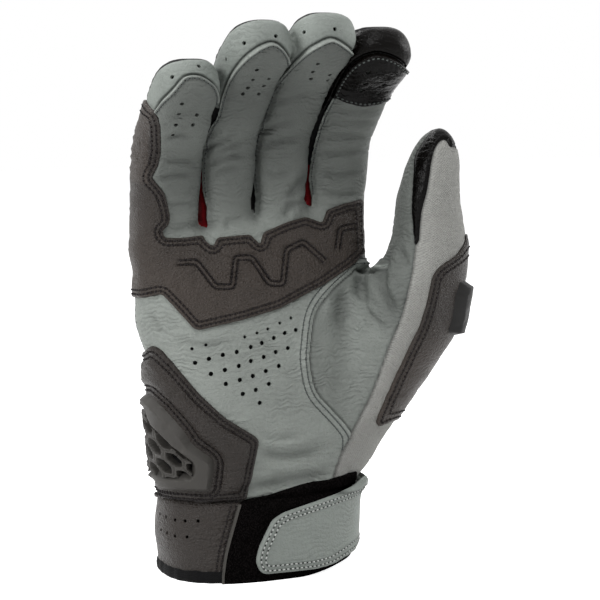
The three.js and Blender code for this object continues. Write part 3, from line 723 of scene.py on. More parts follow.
# Outlines in pixels of the photograph: seams are smooth curves, and cut pieces have straight stretches
OVERLAY_SIDE = [
    (146, 99), (150, 108), (158, 114), (161, 125), (161, 150), (158, 165), (152, 178),
    (158, 185), (164, 193), (168, 207), (170, 218), (168, 226), (162, 231), (165, 238),
]
OVERLAY_TOP = [
    (185, 238), (203, 236), (205, 241), (213, 247), (217, 238), (250, 235), (260, 245),
    (263, 233), (285, 223), (305, 217), (322, 223), (327, 210), (345, 203), (362, 199),
]
OVERLAY_RIGHT = [(363, 235), (364, 253)]
OVERLAY_LOW = [
    (350, 266), (323, 285), (279, 309), (243, 320), (200, 330), (194, 329),
    (177, 310), (162, 294), (143, 298), (133, 297),
]
OVERLAY_ZIGZAG = [
    (178, 263), (196, 262), (215, 287), (232, 287), (235, 258), (251, 258),
    (269, 284), (282, 284), (286, 250), (302, 242), (324, 262),
]
OVERLAY_CORNER = [(336, 250), (339, 229), (356, 225)]
HEEL = [
    (130, 352), (146, 352), (151, 345), (160, 348), (172, 362), (200, 395), (225, 418),
    (258, 438), (258, 446), (252, 474), (246, 500), (200, 503), (160, 497), (130, 495),
]
SLIDER = [
    (130, 404), (145, 395), (152, 392), (166, 406), (187, 431), (194, 443), (212, 456), (215, 462),
    (212, 488), (208, 491), (166, 489), (161, 483), (154, 476), (130, 470),
]
WINDOW = [
    (130, 406), (149, 406), (156, 425), (174, 445), (194, 462), (193, 473),
    (168, 473), (156, 468), (149, 461), (130, 440),
]
THUMB_PATCH = [
    (490, 225), (465, 231), (465, 242), (457, 255), (439, 267), (432, 276), (427, 301), (420, 326),
    (408, 349), (395, 377), (376, 419), (377, 427), (392, 420), (410, 414), (440, 420), (490, 330),
]
ARMOUR = [
    (490, 280), (458, 281), (454, 294), (450, 317), (446, 331), (450, 334), (460, 333), (490, 330),
]
GORE_SEAM = [
    (372, 270), (357, 268), (350, 274), (336, 286), (323, 301), (315, 316), (311, 341),
    (310, 366), (316, 391), (331, 409), (344, 423), (352, 434),
]
CLOTH_SEAM = [
    (326, 500), (335, 474), (341, 455), (351, 434), (372, 393), (388, 349), (402, 315),
    (411, 276), (415, 245),
]
STALL_SEAM = [
    (415, 245), (418, 239), (420, 216), (427, 189), (431, 161), (436, 145), (445, 138), (452, 146),
]
STRIP_EDGE = [(414, 244), (412, 228), (411, 207), (413, 175), (415, 154), (427, 134), (438, 124)]
LOOP_TOP = [
    (240, 503), (246, 500), (273, 493), (304, 484), (330, 479), (346, 474), (356, 470), (369, 458),
    (400, 440),
]
LOOP_LEFT = [(240, 503), (235, 521), (227, 552), (224, 575)]
STRAP = [
    (390, 446), (364, 466), (355, 474), (348, 481), (330, 492), (311, 500), (292, 507), (279, 512),
    (269, 519), (263, 531), (256, 546), (253, 560), (257, 570), (262, 572), (283, 570), (311, 567),
    (327, 562), (340, 553), (352, 542), (390, 520),
]
# Arches of the finger pads, from the little finger's side over the top
PAD_ARCHES = {
    "pinky": [
        (154, 113), (162, 101), (172, 91), (185, 77), (200, 76), (213, 84), (218, 94), (218, 102),
    ],
    "ring": [
        (218, 115), (223, 95), (229, 79), (240, 63), (255, 50), (270, 43), (280, 46), (288, 56), (289, 66),
    ],
    "middle": [
        (264, 118), (273, 92), (285, 73), (303, 54), (318, 44), (332, 39), (346, 46), (356, 56), (358, 64),
    ],
    "index": [
        (316, 140), (323, 118), (333, 97), (344, 76), (357, 61), (376, 54), (395, 59), (407, 70), (408, 84),
    ],
}
# Their long edges, down to the crotches
PAD_EDGES = {
    "pinky": [(154, 113), (150, 140), (150, 190), (150, 225)],
    "ring": [(218, 115), (207, 138), (204, 160), (203, 190), (206, 207)],
    "middle": [(264, 118), (257, 140), (255, 160), (254, 185), (254, 208)],
    "index": [(316, 140), (312, 160), (310, 180), (311, 197)],
}
# The touch patch takes in the arch of the index finger's pad from this point of its curve on
TOUCH_FROM = 10
TOUCH_LOW = [(330, 97), (338, 98), (350, 102), (365, 104), (384, 100), (396, 93), (412, 84)]
# Rows of perforations: small ones, wide ones and those of the fingers and the cuff
SMALL_HOLES = [(245, 337), (257, 333), (268, 329), (280, 323), (291, 318), (192, 349), (206, 345)]
WIDE_HOLES = [
    (195, 363), (209, 359), (223, 355), (237, 352), (251, 347), (262, 343), (274, 338), (285, 333),
    (296, 330),
    (211, 374), (225, 370), (239, 366), (251, 361), (264, 357), (276, 352), (288, 348),
    (226, 384), (240, 380), (253, 376), (266, 371), (279, 366),
    (243, 394), (256, 390), (269, 384), (260, 403),
]
FINGER_HOLES = [
    (257, 70), (253, 80), (248, 88), (243, 94), (269, 79), (264, 86), (259, 94),
    (318, 64), (313, 72), (311, 79), (330, 75), (328, 80),
    (182, 104), (179, 114), (176, 125), (173, 135), (197, 115), (193, 125),
    (368, 72), (365, 83), (361, 90), (383, 84), (378, 93),
    (226, 59), (244, 43), (276, 36), (304, 32), (335, 29), (172, 77), (199, 66),
]
CUFF_HOLES = [
    (160, 514), (166, 517), (175, 520), (185, 521), (198, 521),
    (161, 530), (167, 533), (175, 536), (187, 537),
]
# Folds of the leather: a line, its width in millimetres and its depth
FOLDS = [
    ([(172, 116), (186, 112), (202, 107)], 1.2, 0.35),
    ([(166, 139), (177, 134), (190, 133)], 1.2, 0.4),
    ([(164, 162), (180, 160), (195, 162)], 1.4, 0.4),
    ([(155, 180), (175, 176), (193, 175)], 1.4, 0.5),
    ([(168, 207), (182, 205), (196, 206)], 1.2, 0.3),
    ([(204, 152), (220, 141), (235, 133)], 1.3, 0.5),
    ([(212, 156), (228, 146), (243, 138)], 1.3, 0.45),
    ([(208, 165), (226, 157), (245, 154)], 1.4, 0.45),
    ([(212, 178), (228, 171), (243, 168)], 1.6, 0.35),
    ([(273, 100), (292, 97), (311, 90)], 1.4, 0.4),
    ([(261, 131), (278, 124), (296, 121)], 1.3, 0.5),
    ([(263, 146), (280, 140), (303, 137)], 1.5, 0.5),
    ([(262, 172), (276, 176), (292, 172)], 1.4, 0.4),
    ([(287, 202), (298, 184), (304, 172)], 1.8, 0.6),
    ([(330, 108), (352, 111), (376, 108)], 1.3, 0.4),
    ([(322, 122), (348, 121), (374, 118)], 1.3, 0.4),
    ([(318, 138), (345, 135), (370, 137)], 1.4, 0.45),
    ([(317, 152), (340, 153), (366, 150)], 1.4, 0.45),
    ([(318, 172), (340, 176), (362, 172)], 1.5, 0.5),
    ([(321, 192), (342, 196), (362, 194)], 1.5, 0.5),
    ([(388, 250), (382, 270), (382, 285), (388, 300), (398, 314)], 1.8, 1.2),
    ([(360, 276), (361, 288), (362, 304)], 2.1, 1.1),
    ([(362, 304), (372, 316), (388, 329)], 1.0, 0.5),
    ([(343, 290), (343, 308), (340, 326)], 3.0, 0.9),
    ([(397, 246), (404, 258), (409, 268)], 1.4, 0.5),
    ([(356, 269), (366, 270), (377, 272)], 1.3, 1.2),
    ([(220, 497), (255, 487), (290, 478), (330, 470)], 2.2, 0.5),
    ([(258, 452), (288, 457), (321, 450)], 2.4, 0.6),
    ([(254, 488), (280, 486), (310, 480), (332, 470)], 2.0, 0.5),
    ([(258, 432), (276, 440), (300, 436)], 1.8, 0.35),
    ([(150, 312), (156, 324), (164, 336)], 1.6, 0.4),
    ([(176, 338), (206, 346), (236, 342)], 1.6, 0.35),
    ([(170, 232), (196, 226), (230, 224)], 1.6, 0.3),
    ([(225, 232), (232, 222), (246, 222)], 1.5, 0.3),
    ([(284, 218), (290, 208), (300, 202)], 1.6, 0.5),
]
# Millimetres of depth at a fold of depth 1, and how dark the painted shade of such a fold is
FOLD_DEPTH = 2.0
FOLD_SHADE = 0.3
# Places right of and below the whole picture, where outlines close
FAR_RIGHT = 700
FAR_LOW = 600


def joined(*lines):
    """Stretches of an outline, one after the other."""
    return np.concatenate([np.array(line, float) for line in lines])


def right_of(line):
    """The closed outline of all that lies to the right of a line that runs up or down."""
    return joined(line, [(FAR_RIGHT, line[-1][1]), (FAR_RIGHT, line[0][1])])


overlay_edge = rounded([*OVERLAY_SIDE, *OVERLAY_TOP, *OVERLAY_RIGHT, *OVERLAY_LOW], 3)
gore_close = [(352, FAR_LOW), (FAR_RIGHT, FAR_LOW), (FAR_RIGHT, 100), (378, 268)]
strip_close = [(FAR_RIGHT, 146), (FAR_RIGHT, 100), (450, 100)]
loop_close = [(400, FAR_LOW), (224, FAR_LOW)]
OUTLINES = {
    "overlay": joined([(100, 99)], overlay_edge, [(100, 297)]),
    "heel": rounded(HEEL, 5, closed=True),
    "slider": rounded(SLIDER, 4, closed=True),
    "window": rounded(WINDOW, 3, closed=True),
    "thumb_patch": rounded(THUMB_PATCH, 5, closed=True),
    "armour": rounded(ARMOUR, 2, closed=True),
    "gore": joined(curve(GORE_SEAM), gore_close),
    "cloth": right_of(joined(curve(CLOTH_SEAM), curve(STALL_SEAM))),
    "strip": joined(curve(STALL_SEAM), strip_close, curve(STRIP_EDGE)[::-1]),
    "loop": joined(curve(LOOP_TOP), loop_close, curve(LOOP_LEFT)[::-1]),
    "strap": rounded(STRAP, 4, closed=True),
    "touch": joined(curve(PAD_ARCHES["index"])[TOUCH_FROM:], curve(TOUCH_LOW)[::-1]),
}
# A pad's outline closes far out on the finger's hidden side and below its foot
for name in FINGERS:
    (side_x, side_y), (foot_x, foot_y) = PAD_ARCHES[name][-1], PAD_EDGES[name][-1]
    pad_close = [(side_x + 60, side_y), (foot_x + 100, foot_y + 30), (foot_x, foot_y + 30)]
    OUTLINES[name + "_pad"] = joined(curve(PAD_EDGES[name])[::-1], curve(PAD_ARCHES[name]), pad_close)

# Distances from outlines are worked out up to this many millimetres outside them
NEAR = 6.0


class Dressed:
    """A sheet with what is known at its points: pixel places, facing and the distances from the parts."""

    def __init__(self, sheet):
        values = sheet.values
        self.base = values["base"]
        self.normal = values["normal"]
        if "parts" not in values:
            values["parts"] = part_distances(self.base).T
        self.parts = values["parts"].T
        self.digit = np.argmin(self.parts, 0)
        self.pixels = pixels_of(self.base)
        self.facing = self.normal @ CAMERA_BACK

    def shown_near(self, line, reach, facing=-math.inf):
        """The numbers of the points that show in the box round a line, and face the camera enough."""
        box = (self.pixels > line.min(0) - reach) & (self.pixels < line.max(0) + reach)
        return np.nonzero(box.all(1) & (self.facing > facing))[0]

    def inside(self, name):
        """How many millimetres inside a pixel outline each point shows, and -NEAR far outside it."""
        outline = OUTLINES[name]
        close = self.shown_near(outline, NEAR / MM_PER_PIXEL)
        result = np.full(len(self.pixels), -NEAR)
        result[close] = within(outline, self.pixels[close]) * MM_PER_PIXEL
        return result

    def own(self, digit):
        """Positive where one digit is nearer than the palm and the others."""
        return np.delete(self.parts, digit, 0).min(0) - self.parts[digit]

    def from_front(self, front, behind):
        """One field where the surface faces the camera, running into another where it doesn't."""
        share = smooth_step(self.facing, -0.2, 0.05)
        return share * front + (1 - share) * behind


# Pixels between the two rows of the zigzag
ZIGZAG_GAP = 4.6


def zigzag_rows():
    """The double rows sewn on the palm's reinforcement, as lines of pixels."""
    lines = [rounded(OVERLAY_ZIGZAG, 3), rounded(OVERLAY_CORNER, 3)]
    return [offset_line(line, side * ZIGZAG_GAP / 2) for line in lines for side in (-1, 1)]


# How near to the lines and the holes, in pixels, triangles are made small
LINE_REACH = 3.4
ARCH_REACH = 2.5
ZIGZAG_REACH = 3
HOLE_REACHES = (4.5, 3)
FACING_LINES = -0.15
FACING_HOLES = 0.1


def look_at(sheet):
    """Takes the sheet's points as its base and looks them over."""
    sheet.values["base"] = sheet.points.copy()
    sheet.values.pop("parts", None)
    return Dressed(sheet)


def near_lines(seen, lines, reach):
    """Which points show within a few pixels of any of the lines."""
    near = np.zeros(len(seen.base), bool)
    for line in lines:
        where = seen.shown_near(line, reach, FACING_LINES)
        far, _ = line_distance(line, seen.pixels[where])
        near[where[far < reach]] = True
    return near


def near_holes(seen, reach):
    """Which points show within a few pixels of a perforation."""
    holes = np.array(SMALL_HOLES + WIDE_HOLES + FINGER_HOLES + CUFF_HOLES, float)
    where = np.nonzero(seen.facing > FACING_HOLES)[0]
    gap = np.linalg.norm(seen.pixels[where, None] - holes, axis=2).min(1)
    near = np.zeros(len(seen.base), bool)
    near[where[gap < reach]] = True
    return near


def prepared_skin():
    """The smooth skin cut at the hem, with small triangles where the detail is."""
    skin = hand_sheet()
    skin, _ = parted(skin, skin.points[:, 2] - hem_rise(skin.points[:, 0]))
    seen = look_at(settle(skin))
    lines = [np.concatenate([o, o[:1]]) for o in OUTLINES.values()]
    lines += [curve(points) for points, _, _ in FOLDS]
    lines += zigzag_rows()
    skin = settle(refined(skin, near_lines(seen, lines, LINE_REACH)), 1)
    seen = look_at(skin)
    arches = [curve(arch) for arch in PAD_ARCHES.values()]
    detail = near_holes(seen, HOLE_REACHES[0]) | near_lines(seen, arches, ARCH_REACH)
    detail |= near_lines(seen, zigzag_rows(), ZIGZAG_REACH)
    skin = settle(refined(skin, detail), 1)
    return settle(refined(skin, near_holes(look_at(skin), HOLE_REACHES[1])), 1)


# Relief of the skin: what stands out from the smooth form, in millimetres
def bell(value, width):
    """One at zero, falling away softly to both sides."""
    return np.exp(-((value / width) ** 2))


# The leather beside a fold stands up by this share of its depth, and folds run out over a share of their
# length to what is left of them at their ends
FOLD_BANK = 0.45
FOLD_ENDS = 0.25
FOLD_LEFT = 0.15
FOLD_REACH = 20


def fold_relief(seen):
    """The folds' valleys, with a bank on either side, running out at their ends."""
    height = np.zeros(len(seen.base))
    shown = smooth_step(seen.facing, 0.05, 0.35)
    for points, width, depth in FOLDS:
        line = curve(points)
        where = seen.shown_near(line, FOLD_REACH, 0)
        if not len(where):
            continue
        far, along = line_distance(line, seen.pixels[where])
        far = far * MM_PER_PIXEL
        length = np.linalg.norm(np.diff(line, axis=0), axis=1).sum()
        ends = np.clip(np.minimum(along, length - along) / (FOLD_ENDS * length), 0, 1)
        ends = FOLD_LEFT + (1 - FOLD_LEFT) * ends
        profile = bell(far, width) - FOLD_BANK * bell(far - 2.0 * width, 0.9 * width)
        height[where] -= FOLD_DEPTH * depth * profile * ends * shown[where]
    return height


# Creases across the leather: how often they come along x, y and z, and how deep they are at least,
# and how much deeper in patches. The cuff has this share of them.
CREASES = (0.10, 0.10, 0.34)
FINE_CREASES = (0.3, 0.3, 0.8)
LEAST_CREASE = 0.10
PATCHY_CREASE = 0.34
CUFF_SHARE = 0.3
# Soft unevenness: height, how often it comes and which noise it is
SWELL, RIPPLE = (0.35, 0.07, 3), (0.12, 0.2, 4)
# Creases and ribs at the fingers' bends: depth of the creases, length of one rib and the ribs' height
BEND_CREASE = 0.4
BACK_RIB = 3.4
RIB_HEIGHT = 0.45


def wrinkle_relief(seen):
    """Fine creases that run across the palm and the fingers, and a soft unevenness."""
    p = seen.base
    level = p * CREASES
    level[:, 2] += 0.8 * noise(p * 0.06, 5)
    patchy = smooth_step(noise(p * 0.045, 9), -0.45, 0.5)
    cuff = smooth_step(p[:, 2], CUFF_HEIGHT - 2, CUFF_HEIGHT + 6)
    depth = (LEAST_CREASE + PATCHY_CREASE * patchy) * (CUFF_SHARE + (1 - CUFF_SHARE) * cuff)
    height = -depth * creases(level, 1) - LEAST_CREASE * creases(p * FINE_CREASES, 2) * patchy
    swell, ripple = (amount * noise(p * scale, seed) for amount, scale, seed in (SWELL, RIPPLE))
    height += swell * cuff + ripple
    for finger in fingers:
        on = seen.digit == finger.digit
        along, u, v = finger.at(p)
        bend = bell(along - finger.lower - BEND_LENGTH / 2, 13)
        bend += 0.7 * bell(along - finger.lower - BEND_LENGTH - finger.upper / 2, 8)
        bend = np.clip(bend, 0, 1)
        cross = np.stack([u * 0.09, v * 0.2, along * 0.42 + 0.5 * noise(p * 0.08, 6)], 1)
        height -= on * bend * BEND_CREASE * creases(cross, 7 + finger.digit) * (v < 0)
        height += on * bend * RIB_HEIGHT * np.cos(along * math.tau / BACK_RIB) * smooth_step(v, 5, 8)
    return height


# The fingers' pads stand proud by a step. Lines along their outlines are ridges and grooves: height,
# millimetres inside the outline and width.
PAD_STEP = 1.4
PAD_LINES = ((-1.0, -0.45, 0.55), (0.2, 0.6, 0.5), (-0.3, 1.9, 0.7))
# The pad's rim is made paler and its groove gets painted shade: share, millimetres inside the outline and
# width
PAD_RIM = (1, 0.3, 0.42)
PAD_GROOVE_SHADE = (1, -0.6, 0.5)
# Pleats of the pads at the fingertips
PLEATS = (0.16, 2.6, 1.3)
PLEAT_TURN = 1.35
PLEATS_FROM = (205, 210)
# Seams between panels: how deep and how wide their grooves are, and how far inside the outline
SEAMS = (("gore", 0.7, 0.45), ("cloth", 0.6, 0.6), ("strip", 0.5, 0.6))
SEAM_PLACE = 0.2
# How much painted shade lies in a seam's groove
SEAM_SHADE = 0.8
GORE_TOP = 128.0
GORE_STEP = 0.8
GORE_RIM = (1, -0.45, 0.3)
CUFF_STEP = 0.9
CUFF_SEAM = (-1.1, 0, 0.9)
# Painted shade along the cuff's seam: share, place and width
CUFF_GROOVE_SHADE = (1, 0, 0.7)


def ridge(inside, height, place, width):
    """A ridge along the line that lies a little inside an outline."""
    return height * bell(inside - place, width)


def seam_relief(seen):
    """Relief of the seams, how much each point is a turned edge, and how much painted shade it gets in a
    groove.
    """
    height = np.zeros(len(seen.base))
    rim = np.zeros(len(seen.base))
    groove = np.zeros(len(seen.base))
    bare = 1 - smooth_step(seen.inside("overlay"), -0.5, 0.5)
    for finger in fingers:
        on = np.nonzero((seen.digit == finger.digit) & (seen.facing > -0.05))[0]
        inside = seen.inside(finger.name + "_pad")[on]
        along, _, _ = finger.at(seen.base[on])
        share = bare[on] * smooth_step(along, 0, 5)
        height[on] += bare[on] * PAD_STEP * smooth_step(inside, -0.1, 0.5) * smooth_step(along, 5, 28)
        height[on] += share * sum(ridge(inside, *line) for line in PAD_LINES)
        rim[on] = np.maximum(rim[on], ridge(inside, *PAD_RIM) * share)
        groove[on] = np.maximum(groove[on], ridge(inside, *PAD_GROOVE_SHADE) * share)
        pleats = np.cos(seen.pixels[on, 0] * PLEAT_TURN + 2 * noise(seen.base[on] * 0.2, 31))
        tip = smooth_step(seen.base[on, 2], *PLEATS_FROM)
        height[on] -= (1 - pleats) * ridge(inside, *PLEATS) * tip
    front = (seen.base[:, 1] < 4) & (seen.base[:, 2] > CUFF_HEIGHT) & (seen.facing > -0.1)
    gore = front * (seen.base[:, 2] < GORE_TOP) * (seen.inside("cloth") < 0.3)
    own = {"gore": gore, "cloth": front, "strip": front}
    for name, depth, width in SEAMS:
        line = own[name] * bell(seen.inside(name) - SEAM_PLACE, width)
        height -= depth * line
        groove = np.maximum(groove, line * SEAM_SHADE)
    inside = seen.inside("gore")
    height += GORE_STEP * gore * smooth_step(-inside, -0.1, 0.4) * smooth_step(inside, -5, -2)
    rim = np.maximum(rim, gore * ridge(inside, *GORE_RIM))
    cuff = CUFF_HEIGHT - seen.base[:, 2]
    height += CUFF_STEP * smooth_step(cuff, 0.2, 3.5) + ridge(cuff, *CUFF_SEAM)
    groove = np.maximum(groove, ridge(cuff, *CUFF_GROOVE_SHADE))
    return height, rim, groove


# Heights, and places across, between which painted shade sets in
PALM_DARKENS = (122, 168)
THUMB_DARKENS, THUMB_DARKENS_ACROSS = (84, 120), (30, 50)
WEB_DARKENS, WEB_DARKENS_ACROSS = (84, 112), (28, 46)
# Above this place along a finger only its pad gets painted shade
PAD_DARKENS_FROM = 20


def handled(seen):
    """How far the leather gets painted shade: the fingers' pads, the thumb and the web beside it."""
    x, _, z = seen.base.T
    share = smooth_step(z, *PALM_DARKENS)
    for finger in fingers:
        inside = smooth_step(seen.inside(finger.name + "_pad"), -0.3, 0.2)
        along, _, _ = finger.at(seen.base)
        on_pad = (seen.digit == finger.digit) & (along > PAD_DARKENS_FROM)
        share = np.where(on_pad, share * inside, share)
    thumb = smooth_step(z, *THUMB_DARKENS) * smooth_step(x, *THUMB_DARKENS_ACROSS)
    nearer = smooth_step(seen.own(DIGITS.index("thumb")), -5, 5)
    share = share * (1 - nearer) + thumb * nearer
    web = smooth_step(z, *WEB_DARKENS) * smooth_step(x, *WEB_DARKENS_ACROSS)
    share = np.maximum(share, web * (seen.digit != DIGITS.index("index")))
    return np.clip(share * (0.8 + 0.2 * noise(seen.base * 0.05, 12)), 0, 1)


def shaped(skin):
    """The skin with its relief, and normals that shade it across the cuts between pieces."""
    seen = look_at(skin)
    # Painted shade on the fingers' pads, the thumb and the web
    skin.values["handled"] = handled(seen)
    height, skin.values["rim"], groove = seam_relief(seen)
    folds = fold_relief(seen)
    # Painted shade in the seams' grooves and in the folds' valleys
    skin.values["groove"] = np.maximum(groove, FOLD_SHADE * np.clip(-folds, 0, 1))
    height += folds + wrinkle_relief(seen)
    skin.points = skin.points + skin.values["normal"] * height[:, None]
    skin.values["shading"] = point_normals(skin.points, skin.triangles)
    return skin


# Stretches of skin: rigid on a body or, where a second body is given, left with their transform baked in
class Zone:
    """A stretch on one body, or on neither when another is given; the two places of a bend, start and end,
    are not used.
    """

    def __init__(self, name, body, other=None, start=(0, 0, 0), end=(0, 0, 0), low=0):
        self.name = name
        self.body = body
        self.other = other
        self.start = row_point(start)
        self.end = row_point(end)
        self.low = low

    def carry(self, piece):
        if self.other:
            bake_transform(piece)
        else:
            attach(piece, self.body)

    def field(self, seen):
        """Positive on the zone's own digit, above where its piece of skin starts."""
        if self.name == "thumb":
            height = seen.base[:, 2]
        else:
            height, _, _ = finger_of[self.name].at(seen.base)
        return np.minimum(seen.own(DIGITS.index(self.name)), height - self.low)


# The places given for a finger's bend lie a little beyond both ends of its joint
BEND_EXTRA = 2
THUMB_BEND_START = (65.6, -24, 134)
THUMB_BEND_END = (65.6, -28, 154)


def finger_zone(finger):
    """A finger's stretch of skin, with the places of its middle joint."""
    start = finger.spine_point(finger.lower - BEND_EXTRA)
    end = finger.spine_point(finger.lower + BEND_LENGTH + BEND_EXTRA)
    return Zone(finger.name, "fingers", finger.name + "_tip", start, end, finger.lower * FINGER_CUT_SHARE)


PALM_ZONE = Zone("palm", "hand", "fingers", (0, 0, FOLD_START), (0, 0, FOLD_END))
DIGIT_ZONES = [Zone("thumb", "hand", "thumb_tip", THUMB_BEND_START, THUMB_BEND_END, THUMB_CUT)]
DIGIT_ZONES += [finger_zone(finger) for finger in fingers]


def zone_parts(sheet):
    """The sheet cut into zones, as pairs of a zone and its part."""
    parts = []
    for zone in DIGIT_ZONES:
        if not len(sheet.triangles):
            break
        own, sheet = parted(sheet, zone.field(Dressed(sheet)))
        parts.append((zone, own))
    parts.append((PALM_ZONE, sheet))
    return [(zone, part) for zone, part in parts if len(part.triangles)]


# Solids from sheets
def boundary_edges(triangles):
    """Directed edges that belong to one triangle only."""
    edges = triangle_edges(triangles)
    keys = edge_keys(edges, triangles.max() + 1)
    _, first, count = np.unique(keys, return_index=True, return_counts=True)
    return edges[first[count == 1]]


def outer_side(sheet):
    """The points of a sheet's outer side."""
    outer = sheet.values.get("outer", np.zeros(len(sheet.points)))
    return sheet.points + sheet.values["normal"] * outer[:, None]


def shade_outer(sheet):
    """Works out the normals that shade a sheet's outer side."""
    sheet.values["shading"] = point_normals(outer_side(sheet), sheet.triangles)


def solid_from(sheet, outer, inner):
    """Points, triangles and corner normals of the closed solid between two heights over a sheet."""
    out = sheet.values["normal"]
    top = sheet.points + out * np.broadcast_to(outer, len(out))[:, None]
    bottom = sheet.points + out * np.broadcast_to(inner, len(out))[:, None]
    count = len(top)
    a, b = boundary_edges(sheet.triangles).T
    walls = np.concatenate([np.stack([b, a, a + count], 1), np.stack([b, a + count, b + count], 1)])
    back = sheet.triangles[:, ::-1]
    triangles = np.concatenate([sheet.triangles, back + count, walls])
    points = np.concatenate([top, bottom])
    shade = sheet.values["shading"]
    corners = points[walls]
    flat = unit(np.cross(corners[:, 1] - corners[:, 0], corners[:, 2] - corners[:, 0]))
    normals = np.concatenate([shade[sheet.triangles], -shade[back], np.repeat(flat[:, None], 3, 1)])
    return points, triangles, normals


# Values that the materials read
MARKS = ("rim", "groove", "inside", "handled")


def add_shell(name, sheet, zone, material, nodes, inner=-SKIN):
    """A closed piece over or in the skin, standing for the named CAD nodes."""
    points, triangles, normals = solid_from(sheet, sheet.values.get("outer", 0.0), inner)
    marks = {key: np.tile(sheet.values[key], 2) for key in MARKS if key in sheet.values}
    piece = add_piece(name, points, triangles, material, normals, marks)
    zone.carry(piece)
    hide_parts(*nodes)
    return piece


# Sewing: rows of stitches follow the lines where a field over a sheet is zero
def isolines(sheet, field):
    """The lines on a sheet's outer side where the field is zero, as pairs of their points and normals."""
    sheet, field = scored(sheet, field, snap=0.0)
    tri = sheet.triangles
    edges = triangle_edges(tri)
    edges = edges[(field[edges] == 0).all(1)]
    count = len(sheet.points)
    edges = np.stack(np.divmod(np.unique(edge_keys(edges, count)), count), 1)
    neighbours = {}
    for a, b in edges.tolist():
        neighbours.setdefault(a, []).append(b)
        neighbours.setdefault(b, []).append(a)
    ends = [k for k, linked in neighbours.items() if len(linked) == 1]
    lines = []
    for start in ends + list(neighbours):
        while neighbours[start]:
            line = [start]
            while neighbours[line[-1]]:
                following = neighbours[line[-1]].pop()
                neighbours[following].remove(line[-1])
                line.append(following)
            lines.append(line)
    top = outer_side(sheet)
    return [(top[line], sheet.values["shading"][line]) for line in lines if len(line) > 3]


def along_line(line, places):
    """Points and normals of a line at lengths along it."""
    steps = np.linalg.norm(np.diff(line[0], axis=0), axis=1)
    along = np.concatenate([[0], np.cumsum(steps)])
    at = [np.stack([np.interp(places, along, values[:, k]) for k in range(3)], 1) for values in line]
    return at[0], unit(at[1])


def line_length(line):
    return np.linalg.norm(np.diff(line[0], axis=0), axis=1).sum()


def spindles(line, middles, length, radius, lift):
    """Points and triangles of short pieces of thread that dip into the surface at both ends."""
    a, _ = along_line(line, middles - length / 2)
    b, _ = along_line(line, middles + length / 2)
    _, up = along_line(line, middles)
    side = unit(np.cross(up, b - a))
    rows = [a - up * radius]
    for share in (0.25, 0.75):
        centre = a * (1 - share) + b * share + up * lift
        rows += [centre + up * radius, centre + side * radius, centre - up * radius, centre - side * radius]
    rows.append(b - up * radius)
    points = np.stack(rows, 1)
    pattern = []
    for k in range(4):
        after = (k + 1) % 4
        pattern += [(0, 1 + after, 1 + k), (9, 5 + k, 5 + after)]
        pattern += [(1 + k, 1 + after, 5 + after), (1 + k, 5 + after, 5 + k)]
    starts = np.arange(len(points))[:, None, None] * 10
    return points.reshape(-1, 3), (np.array(pattern) + starts).reshape(-1, 3)


STITCH_PITCH = 2.0
STITCH_LENGTH = 1.4
STITCH_RADIUS = 0.4
STITCH_LIFT = 0.1
PAD_STITCH_RADIUS = 0.36
# Needle holes are black spindles that stand for the holes' painted shade: lengths along the seam and shares
# of the stitch's radius
HOLE_LENGTH = 0.95
SHORT_HOLE = 0.5
HOLE_WIDTH = 1.3
HOLE_SINK = 0.7
threads = {}


def add_thread(zone, material, points, triangles):
    """Keeps pieces of thread, to make one mesh for each zone and material in the end."""
    store = threads.setdefault((zone, material.name), [material, [], [], 0])
    store[1].append(points)
    store[2].append(triangles + store[3])
    store[3] += len(points)


def sew(zone, lines, material, radius=STITCH_RADIUS):
    """A row of stitches along each line, with a black spindle for a needle hole's painted shade between
    every two.
    """
    for line in lines:
        count = int(line_length(line) / STITCH_PITCH)
        if count < 2:
            continue
        middles = (np.arange(count) + 0.5) * line_length(line) / count
        add_thread(zone, material, *spindles(line, middles, STITCH_LENGTH, radius, STITCH_LIFT))
        gaps = middles[1:] - STITCH_PITCH / 2
        length = SHORT_HOLE if material is dark_thread else HOLE_LENGTH
        holes = spindles(line, gaps, length, radius * HOLE_WIDTH, -radius * HOLE_SINK)
        add_thread(zone, needle_hole_shade, *holes)


def sew_rows(sheet, field, distances, material, zones=None):
    """Rows of stitches at distances from a field's zero line."""
    sheet.values["row"] = field
    for zone, part in zone_parts(sheet):
        if zones is None or zone.name in zones:
            for distance in distances:
                sew(zone, isolines(part, part.values["row"] - distance), material)


def add_threads():
    """Makes the meshes of all that was sewn."""
    for (zone, _), (material, points, triangles, _) in threads.items():
        title = "sewn_" + material.name.removesuffix("_look") + "_" + zone.name
        piece = add_piece(title, np.concatenate(points), np.concatenate(triangles), material)
        zone.carry(piece)


# Pieces laid on the skin: how high they stand at their edges, as a share, and how deep they are let in
ROUNDED_FOOT = 0.45
BEVEL_FOOT = 0.3
LET_IN = -0.15


def rounded_edge(inside, soft):
    """The height of a rolled edge, as a share of the piece's."""
    edge = np.clip(inside / soft, 0, 1)
    return ROUNDED_FOOT + (1 - ROUNDED_FOOT) * np.sqrt(1 - (1 - edge) ** 2)


def bevelled(inside, soft):
    """The height of a bevelled edge, as a share of the piece's."""
    return np.clip(BEVEL_FOOT + (1 - BEVEL_FOOT) * inside / soft, 0, 1)


def patch_sheet(sheet, field, high, low=LET_IN, soft=0.9, rise=rounded_edge):
    """The part of a sheet inside a field's zero line, with the height of its outer side."""
    sheet.values["inside"] = field
    sheet, _ = parted(sheet, field)
    for share in (0.4, 1.0):
        sheet, _ = scored(sheet, sheet.values["inside"] - soft * share)
    sheet.values["outer"] = low + (high - low) * rise(sheet.values["inside"], soft)
    shade_outer(sheet)
    return sheet


